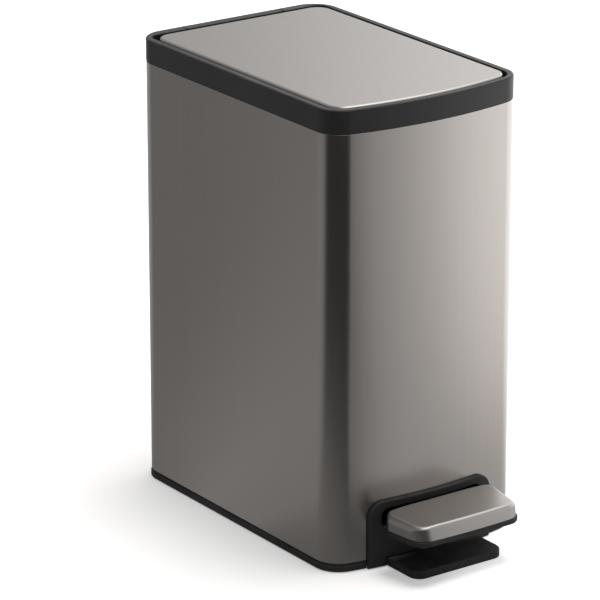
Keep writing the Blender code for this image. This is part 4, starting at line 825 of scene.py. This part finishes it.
def makeSurround():
    edge, proud, depth, gap = surround["edge"], surround["proud"], surround["depth"], body["gap"]
    narrow, low, shape = surround["lap"] + gap, base["lift"], bmesh.new()
    turns = [pi / 2 * i / 5 for i in range(6)]
    outerSteps = [(narrow, -depth), (narrow, gap), (0, gap)]
    outerSteps += [(edge * (1 - cos(turn)), proud - edge * (1 - sin(turn))) for turn in turns]
    innerSteps = [(edge / 2 * (1 - cos(turn)), proud - edge / 2 * (1 - sin(turn))) for turn in turns[::-1]]
    innerSteps += [(0, -depth)]

    def rowsAlong(outline, steps):
        counts = sideCounts(outline(0))
        return [[shape.verts.new((x, bowY(x, reach), z)) for x, z in spread(outline(size), counts)]
                for size, reach in steps]

    outerRows = rowsAlong(lambda inset: archOutline(inset, low), outerSteps)
    innerRows = rowsAlong(windowOutline, innerSteps)
    skinRows(shape, outerRows)
    skinRows(shape, innerRows)
    closeFace(shape, outerRows[-1], innerRows[0], proud)
    closeFace(shape, outerRows[0], innerRows[-1], -depth)
    piece = newPiece("pedalArch", shape, surround["sharp"])
    rear, foot, wide = lines["crossbarRear"], base["plateTop"] + gap, surround["lugOut"] - surround["lugIn"]
    frontX = body["halfWidth"] - body["frontRadius"]
    for x in (-surround["lugOut"], surround["lugIn"]):
        far = (x + wide, rear, foot + surround["lugThick"])
        fuse(piece, block("archLug", (x, rear - surround["lugDepth"], foot), far))
    low = (-frontX, rear - surround["barRoom"], -past)
    carve(piece, block("archBarRoom", low, (frontX, rear + past, foot)))
    lugs = [(x, rear - lines["lugScrewIn"], base["plateTop"]) for x in lines["screwX"]]
    drill(piece, 0, surround["screwDepth"], lugs)
    piece.data.set_sharp_from_angle(angle=radians(surround["sharp"]))
    return dress(evenNormals(piece), "bin", footBlack, "black_plastic", "pedal_surround")


makeSurround()
print("surround ready")


# The pedal: a steel cap pressed over a plastic tray. Its top leans down to the front and is crowned
# towards the ends, which are rounded off widely, the front edge tightly and the rear edge hardly
pedal = dict(
    top=0.0456, height=0.0116, slope=0.0013, crown=0.0015, crownReach=0.024, frontLean=0.0020,
    frontBow=0.0016, rearHalf=0.0496, frontHalf=0.0446, rearRadius=0.006, frontRadius=0.012,
    leastRadius=0.0005, rearEdge=(0.0005, 0.0005), endEdge=(0.0050, 0.0055), frontEdge=(0.0022, 0.0025),
    leastEdge=0.0002, cornerSteps=14, cornerHaste=1.7, endInward=0.023, sideInward=0.013,
    sheet=0.001, foot=0.0003, lipProud=0.0008, lipHeight=0.0036, lipFoot=0.0009, lipEdge=0.0005,
    underHeight=0.005, underInset=0.009, underTaper=0.002, underSoft=0.0006, wall=0.002, floor=0.0055,
    rise=0.003, neckHalf=0.0165, neckHeight=0.007, neckReach=0.022, neckStart=0.011, neckRadius=0.0012,
    slotHalf=0.013, slotStart=0.012, slotHeight=0.002, tongueUp=0.0015, screwY=0.004, screwDepth=0.0075,
)


def pedalCorners():
    corners = [(pedal["rearHalf"], lines["pedalRear"]), (-pedal["rearHalf"], lines["pedalRear"]),
               (-pedal["frontHalf"], lines["pedalFront"]), (pedal["frontHalf"], lines["pedalFront"])]
    return corners, [pedal["rearRadius"], pedal["rearRadius"], pedal["frontRadius"], pedal["frontRadius"]]


def pedalLoops(profile):
    corners, radii = pedalCorners()
    loops = []
    for grow, z in profile:
        kept = [max(radius, pedal["leastRadius"] - grow) for radius in radii]
        loops.append(atLevel(roundedLoop(corners, kept, grow, pedal["cornerSteps"]), z))
    return loops


def treadLoop(shrink, share, inward=0):
    # one loop of the rounded edge, share 0 at the wall and 1 at the top, each side with its own edge
    corners, radii = pedalCorners()
    angle, steps, haste = pi / 2 * share, pedal["cornerSteps"], pedal["cornerHaste"]
    grows, levels = [], []
    for side, edge in enumerate(("rearEdge", "endEdge", "frontEdge", "endEdge")):
        inset, drop = (max(size - shrink, pedal["leastEdge"]) for size in pedal[edge])
        drop *= 1 - sin(angle)
        lean = pedal["frontLean"] * (1 - drop / pedal["height"]) if side == 2 else 0
        reach = pedal["endInward"] if side % 2 else pedal["sideInward"]
        grows.append(-shrink - lean - inset * (1 - cos(angle)) - inward * reach)
        levels.append(pedal["top"] - shrink - drop)
    kept = [max(radius, pedal["leastRadius"] - (grows[i - 1] + grows[i]) / 2)
            for i, radius in enumerate(radii)]
    loop = []
    for i, (x, y) in enumerate(roundedLoop(corners, kept, grows, steps)):
        corner, turn = divmod(i, steps + 1)
        turn = turn / steps
        if corner == 2:
            turn = min(turn * haste, 1)      # the front corners soon reach the front edge's level
        if corner == 3:
            turn = max(turn * haste - haste + 1, 0)
        turn = turn * turn * (3 - 2 * turn)
        loop.append((x, y, levels[corner - 1] * (1 - turn) + levels[corner] * turn))
    return loop


def divideSide(loop, after, parts=16):
    # more points along the straight side that follows this point
    start, end = Vector(loop[after]), Vector(loop[after + 1])
    more = [tuple(start.lerp(end, k / parts)) for k in range(1, parts)]
    return loop[:after + 1] + more + loop[after + 1:]


def makeTread():
    top, sheet, low = pedal["top"], pedal["sheet"], pedal["top"] - pedal["height"]
    rear, front, last = lines["pedalRear"], lines["pedalFront"], pedal["cornerSteps"]
    middle, half = (rear + front) / 2, (rear - front) / 2
    flat, reach, bow = pedal["rearHalf"] - pedal["crownReach"], pedal["crownReach"], pedal["frontBow"]
    loops = [treadLoop(sheet, step / 6) for step in range(6, -1, -1)]
    loops += pedalLoops(facingIn([(sheet, low)] + turnUnder(0, low, pedal["foot"], 3)))
    loops += [treadLoop(0, step / 16) for step in range(17)]
    loops += [treadLoop(0, 1, step / 8) for step in range(1, 9)]
    bent = []
    for loop in loops:
        row = []
        for x, y, z in divideSide(divideSide(loop, 3 * last + 2), last):      # the front, then the rear
            lift = pedal["slope"] * (y - middle) / half
            lift -= pedal["crown"] * max((abs(x) - flat) / reach, 0) ** 2
            forward = bow * (0.5 - (x / pedal["frontHalf"]) ** 2) * max((middle - y) / half, 0)
            row.append((x, y - forward, z + lift * (z - low) / (top - low)))
        bent.append(row)
    piece = evenNormals(loftPiece("pedalCap", bent))
    return dress(piece, "pedal", pedalSteel, "brushed_steel", "pedal_tread")


def makeTray():
    low, gap, proud = pedal["top"] - pedal["height"], body["gap"], pedal["lipProud"]
    lipTop = low - gap
    lipLow, under = lipTop - pedal["lipHeight"], lipTop - pedal["lipHeight"] - pedal["underHeight"]
    seat, rise, floor = -pedal["sheet"] - gap, low + pedal["rise"], under + pedal["floor"]
    wall, soft = seat - pedal["wall"], pedal["underSoft"]
    profile = [(-pedal["underInset"] - soft, under), (-pedal["underInset"], under + soft)]
    profile += [(pedal["underTaper"] - pedal["underInset"], lipLow)]
    lip = turnUnder(-proud, lipLow, pedal["lipFoot"], 5) + turnEdge(-proud, lipTop, pedal["lipEdge"], 3)
    profile += facingIn(lip)
    profile += [(seat, lipTop), (seat, rise), (wall, rise), (wall, floor)]
    piece = loftPiece("pedalTray", pedalLoops(profile))
    tongueLow, half, high = under + pedal["tongueUp"], pedal["neckHalf"], pedal["neckHeight"]
    neckLow = tongueLow - (high - pedal["slotHeight"]) / 2
    front, rear = lines["pedalRear"] - pedal["neckStart"], lines["pedalRear"] + pedal["neckReach"]
    neck = roundedLoop(rectangle(-half, neckLow, half, neckLow + high), [pedal["neckRadius"]] * 4, 0, 5)
    fuse(piece, slab("trayNeck", neck, "y", front, rear))
    low = (-pedal["slotHalf"] - gap, lines["pedalFront"] + pedal["slotStart"] - gap, tongueLow - gap)
    high = (pedal["slotHalf"] + gap, rear + past, tongueLow + pedal["slotHeight"] + gap)
    carve(piece, block("traySlot", low, high))
    middle = (lines["pedalFront"] + lines["pedalRear"]) / 2
    centres = [(0, middle - pedal["screwY"], under), (0, middle + pedal["screwY"], under)]
    drill(piece, -past, pedal["screwDepth"], centres)
    return dress(evenNormals(piece), "pedal", footBlack, "black_plastic", "pedal_tray")


makeTread()
makeTray()
print("pedal ready")


# Rubber feet and lid buttons, each turned from its steps of (less than the radius, height)
rubber = dict(
    foot=((0.002, 0), (0.0006, 0.0002), (0.0001, 0.0008), (0, 0.0014)),
    button=((0, 0.0006), (0.0002, 0.0002), (0.0008, 0)),
    pad=((0.001, 0), (0.0002, 0.0003), (0, 0.0008)),
)


def turnRubber(name, node, profile, x, y, steps=48):
    dress(turnPiece(name, profile, (x, y, 0), steps=steps), "bin", rubberBlack, "rubber", node)


def makeRubber():
    foot = [(base["rubber"] - less, z) for less, z in rubber["foot"]]
    foot += [(base["rubber"], base["seat"] - body["gap"])]
    for name, x, y in postPlaces():
        turnRubber("foot_" + name, "rubber_foot_" + name, foot, x, y)
        low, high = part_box("lid_bumper_" + name)
        radius = (high[0] - low[0]) / 2
        button = [(radius, low[2])] + [(radius - less, high[2] - drop) for less, drop in rubber["button"]]
        x, y = (low[0] + high[0]) / 2, (low[1] + high[1]) / 2 - body["shift"]
        turnRubber("button_" + name, "lid_bumper_" + name, button, x, y, 32)
    pad = [(base["padRadius"] - less, z) for less, z in rubber["pad"]]
    pad += [(base["padRadius"], base["padThick"])]
    turnRubber("footPad", "rubber_foot_pedal_plate", pad, 0, base["padY"])


makeRubber()


# Screws: pan heads with a cross recess, by the axis they lie along and the way they point
screw = dict(
    head=0.003, headHeight=0.0016, dome=((0.45, 0), (0.8, 0.12), (0.97, 0.45), (1, 0.75), (1, 1)),
    shank=0.0015, core=0.86, pitch=0.0008, tip=0.001, recess=0.0011, slot=0.0005, above=0.001, wing=0.55,
)
screws = (
    ("z", 1, "yoke_screw_left yoke_screw_middle yoke_screw_right axle_screw_front axle_screw_rear "
             "pedal_screw_front pedal_screw_rear"),
    ("y", 1, "hinge_screw_left hinge_screw_right"),
    ("z", -1, "surround_screw_left surround_screw_right"),
)


def makeScrew(node, axis, direction):
    low, high = ((x, y - body["shift"], z) for x, y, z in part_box(node))
    index = "xyz".index(axis)
    centre = [(low[i] + high[i]) / 2 for i in range(3)]
    start, length = (low if direction > 0 else high)[index], high[index] - low[index]
    centre[index] = 0
    head, tall, shank, pitch = screw["head"], screw["headHeight"], screw["shank"], screw["pitch"]
    profile = [(head * wide, tall * along) for wide, along in screw["dome"]]
    along = tall
    while along + pitch < length - screw["tip"]:
        profile += [(shank * screw["core"], along), (shank, along + pitch / 2)]
        along += pitch
    profile += [(shank * screw["core"], along), (shank / 3, length)]
    profile = [(radius, start + direction * step) for radius, step in profile]
    piece = turnPiece("fastener_" + node, profile, tuple(centre), axis, 28)
    across, up = (value for i, value in enumerate(centre) if i != index)
    near, far = sorted((start - direction * screw["above"], start + direction * screw["recess"]))
    for long, wide in ((head * screw["wing"], screw["slot"]), (screw["slot"], head * screw["wing"])):
        cross = rectangle(across - long, up - wide, across + long, up + wide)
        carve(piece, slab("recess", cross, axis, near, far))
    bodies = frame["record"]["behaviour"]["bodies"].items()
    carrier = next(name for name, members in bodies if node in members)
    return dress(piece, carrier, zincPlate, "plated_steel", node)


for axis, direction, names in screws:
    for name in names.split():
        makeScrew(name, axis, direction)
print("fasteners ready")


# The pressed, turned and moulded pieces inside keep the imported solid's shape under their own finishes
inside = (
    (zincPlate, "hinge_yoke hinge_bracket axle_bracket pedal_lever pedal_axle push_rod damper_piston "
                "hinge_pin_left hinge_pin_right"),
    (naturalNylon, "rod_shoe rod_cap damper_link damper_clip axle_bush_left axle_bush_right"),
    (innerBlack, "rear_channel damper_cylinder"),
)
for material, names in inside:
    for name in names.split():
        for place in nodes[name].material_slots:
            place.link, place.material = "OBJECT", material
print("inside ready")


# Studio: a pale floor, one wide sun and pale air; the floor glows less left of the bin than right of it
studio = dict(
    floorSize=14, floorTone=0.86, floorWarm=1.01, floorRough=0.9, floorGlow=0.34, rightGlow=0.62,
    glowFrom=-0.05, glowTo=0.03, worldStrength=0.35, sunStrength=2.0, sunSpread=27,
    sunFrom=(0.15, -0.02, 1.0), sunColour=(1.0, 0.985, 0.97), coverHalf=0.0815,
    coverReach=0.1165, coverHeight=0.02, coverSoft=0.001,
)


def seenRay(tree):
    # 1 for what is seen straight, in gloss or through glass
    path = tree.nodes.new("ShaderNodeLightPath")
    seen = mathNode(tree, "MAXIMUM", path.outputs["Is Camera Ray"], path.outputs["Is Glossy Ray"])
    return mathNode(tree, "MAXIMUM", seen, path.outputs["Is Transmission Ray"])


def clearOfBin(tree, coord):
    # 0 on the floor that the bin covers, 1 beyond it, with the bin's own round corners
    radius, soft = body["frontRadius"], studio["coverSoft"]
    half = tuple(studio[size] - radius for size in ("coverHalf", "coverReach", "coverHeight"))
    middle = vectorNode(tree, "SUBTRACT", coord, (0, body["shift"], 0))
    out = vectorNode(tree, "SUBTRACT", vectorNode(tree, "ABSOLUTE", middle), half)
    beyond = vectorNode(tree, "LENGTH", vectorNode(tree, "MAXIMUM", out, (0, 0, 0)))
    return rangeNode(tree, beyond, radius - soft, radius + soft)


def makeFloor():
    bpy.ops.mesh.primitive_grid_add(x_subdivisions=2, y_subdivisions=2, size=studio["floorSize"])
    floor = bpy.context.object
    floor.name = "floor"
    material, tree, shader = startMaterial("paleFloor")
    coord, tone = ownPlace(tree), studio["floorTone"]
    warm = (tone * studio["floorWarm"], tone * studio["floorWarm"], tone)
    colour = mixColour(tree, noiseNode(tree, coord, 3, 2, 0.5), (tone, tone, tone), warm)
    tree.links.new(colour, shader.inputs["Base Color"])
    shader.inputs["Roughness"].default_value = studio["floorRough"]
    shader.inputs["Specular IOR Level"].default_value = 0
    shader.inputs["Emission Color"].default_value = (1, 1, 1, 1)
    side = rangeNode(tree, splitNode(tree, coord)["X"], studio["glowFrom"], studio["glowTo"],
                     studio["floorGlow"], studio["rightGlow"], smooth=True)
    glow = times(tree, seenRay(tree), times(tree, clearOfBin(tree, coord), side))
    tree.links.new(glow, shader.inputs["Emission Strength"])
    floor.data.materials.append(material)


def makeLight():
    world = bpy.data.worlds.new("studioWorld")
    bpy.context.scene.world = world
    world.use_nodes = True
    tree = world.node_tree
    back = tree.nodes["Background"]
    back.inputs["Color"].default_value = (1, 1, 1, 1)
    strength = rangeNode(tree, seenRay(tree), 0, 1, studio["worldStrength"], 1)
    tree.links.new(strength, back.inputs["Strength"])
    sun = bpy.data.lights.new("keyLight", "SUN")
    sun.energy, sun.color = studio["sunStrength"], studio["sunColour"]
    sun.angle = radians(studio["sunSpread"])
    key = addObject("keyLight", sun)
    key.rotation_euler = Vector(studio["sunFrom"]).to_track_quat("Z", "Y").to_euler()
    key.visible_glossy = False


makeFloor()
makeLight()
print("studio ready")


# The card: a dome that only gloss sees, with brightness by direction, as the soft boxes and dark
# boards of the studio stood. Each ring lists (turn in degrees from the front towards the right,
# brightness) and fades in between two heights above the horizon, in degrees
card = dict(radius=1.1, centre=0.17, lift=0.0004, brightest=4)
lowRing = [
    (-180, 0.45), (-160, 0.34), (-150, 0.26), (-130, 0.37), (-100, 0.33), (-84, 0.24), (-40, 0.18),
    (-12, 0.12), (-3, 0.34), (2, 0.50), (7, 0.54), (12, 0.56), (20, 0.58), (35, 0.63), (43, 0.66),
    (52, 0.75), (62, 0.80), (80, 1.2), (110, 1.4), (145, 1.0), (180, 0.45),
]
higherRings = [
    (-36, -8, [
        (-180, 0.50), (-165, 0.44), (-153, 0.36), (-148, 0.19), (-144, 0.19), (-140, 0.28), (-134, 0.34),
        (-128, 0.36), (-100, 0.32), (-84, 0.04), (2, 0.04), (12, 0.52), (24, 0.70), (35, 0.97), (44, 1.24),
        (52, 1.40), (60, 1.50), (75, 1.9), (110, 1.7), (130, 1.38), (140, 1.03), (150, 0.68), (160, 0.55),
        (180, 0.50),
    ]),
    (3, 18, [
        (-180, 0.50), (-153, 0.36), (-130, 0.33), (-84, 0.25), (0, 0.30), (20, 0.54), (40, 0.68),
        (70, 0.98), (100, 1.5), (115, 1.6), (130, 1.38), (140, 1.03), (150, 0.68), (160, 0.55), (180, 0.50),
    ]),
    (38, 60, [
        (-180, 0.8), (-140, 0.35), (-60, 0.35), (-20, 1.8), (10, 2.6), (60, 2.6), (100, 1.9), (180, 0.8),
    ]),
]


def ringGlow(tree, share, levels):
    ramp, brightest = tree.nodes.new("ShaderNodeValToRGB"), card["brightest"]
    tree.links.new(share, ramp.inputs["Fac"])
    elements = ramp.color_ramp.elements
    while len(elements) > 1:
        elements.remove(elements[-1])
    for i, (turn, level) in enumerate(levels):
        spot = elements[0] if i == 0 else elements.new((turn + 180) / 360)
        spot.position = (turn + 180) / 360
        spot.color = (*[level / brightest] * 3, 1)
    return times(tree, ramp.outputs["Color"], brightest)


def makeCard():
    shape = bmesh.new()
    bmesh.ops.create_uvsphere(shape, u_segments=96, v_segments=48, radius=card["radius"])
    for vert in shape.verts:
        vert.co.z = max(vert.co.z + card["centre"], card["lift"])
    bmesh.ops.reverse_faces(shape, faces=shape.faces)
    mesh = bpy.data.meshes.new("reflectingCard")
    shape.to_mesh(mesh)
    shape.free()
    piece = addObject("reflectingCard", mesh)
    for ray in ("camera", "diffuse", "shadow", "transmission", "volume_scatter"):
        setattr(piece, "visible_" + ray, False)
    material, tree, shader = startMaterial("cardGlow")
    tree.nodes.remove(shader)
    coord = ownPlace(tree)
    place = vectorNode(tree, "SUBTRACT", coord, (0, 0, card["centre"]))
    apart = splitNode(tree, place)
    flat = vectorNode(tree, "LENGTH", vectorNode(tree, "MULTIPLY", place, (1, 1, 0)))
    rise = mathNode(tree, "ARCTAN2", apart["Z"], flat)      # height above the horizon
    turn = mathNode(tree, "ARCTAN2", apart["X"], times(tree, apart["Y"], -1))
    share = rangeNode(tree, turn, -pi, pi)      # 0.5 is the front, 0.75 the right, 0.25 the left
    glow = ringGlow(tree, share, lowRing)
    for low, high, levels in higherRings:
        mix = rangeNode(tree, rise, radians(low), radians(high), smooth=True)
        under = times(tree, glow, minus(tree, 1, mix))
        glow = plus(tree, under, times(tree, ringGlow(tree, share, levels), mix))
    shine = tree.nodes.new("ShaderNodeEmission")
    tree.links.new(times(tree, glow, clearOfBin(tree, coord)), shine.inputs["Strength"])
    tree.links.new(shine.outputs[0], tree.nodes["Material Output"].inputs["Surface"])
    mesh.materials.append(material)


makeCard()
print("card ready")


# Camera: where the photograph was taken from, front left of the bin and looking down on it
shot = dict(
    turn=-35.4005, tilt=19.3567, distance=2.8329, lens=235.563, sensor=36, clipEnd=60,
    aim=(-0.029584, 0.017986, 0.164029),
)


def makeCamera():
    camera = bpy.data.cameras.new("shot")
    camera.lens, camera.sensor_width, camera.clip_end = shot["lens"], shot["sensor"], shot["clipEnd"]
    holder = addObject("shot", camera)
    turn, tilt = radians(shot["turn"]), radians(shot["tilt"])
    away = Vector((sin(turn) * cos(tilt), -cos(turn) * cos(tilt), sin(tilt)))
    holder.location = Vector(shot["aim"]) + away * shot["distance"]
    holder.rotation_euler = away.to_track_quat("Z", "Y").to_euler()
    bpy.context.scene.camera = holder
    bpy.context.scene.view_settings.view_transform = "Standard"


makeCamera()
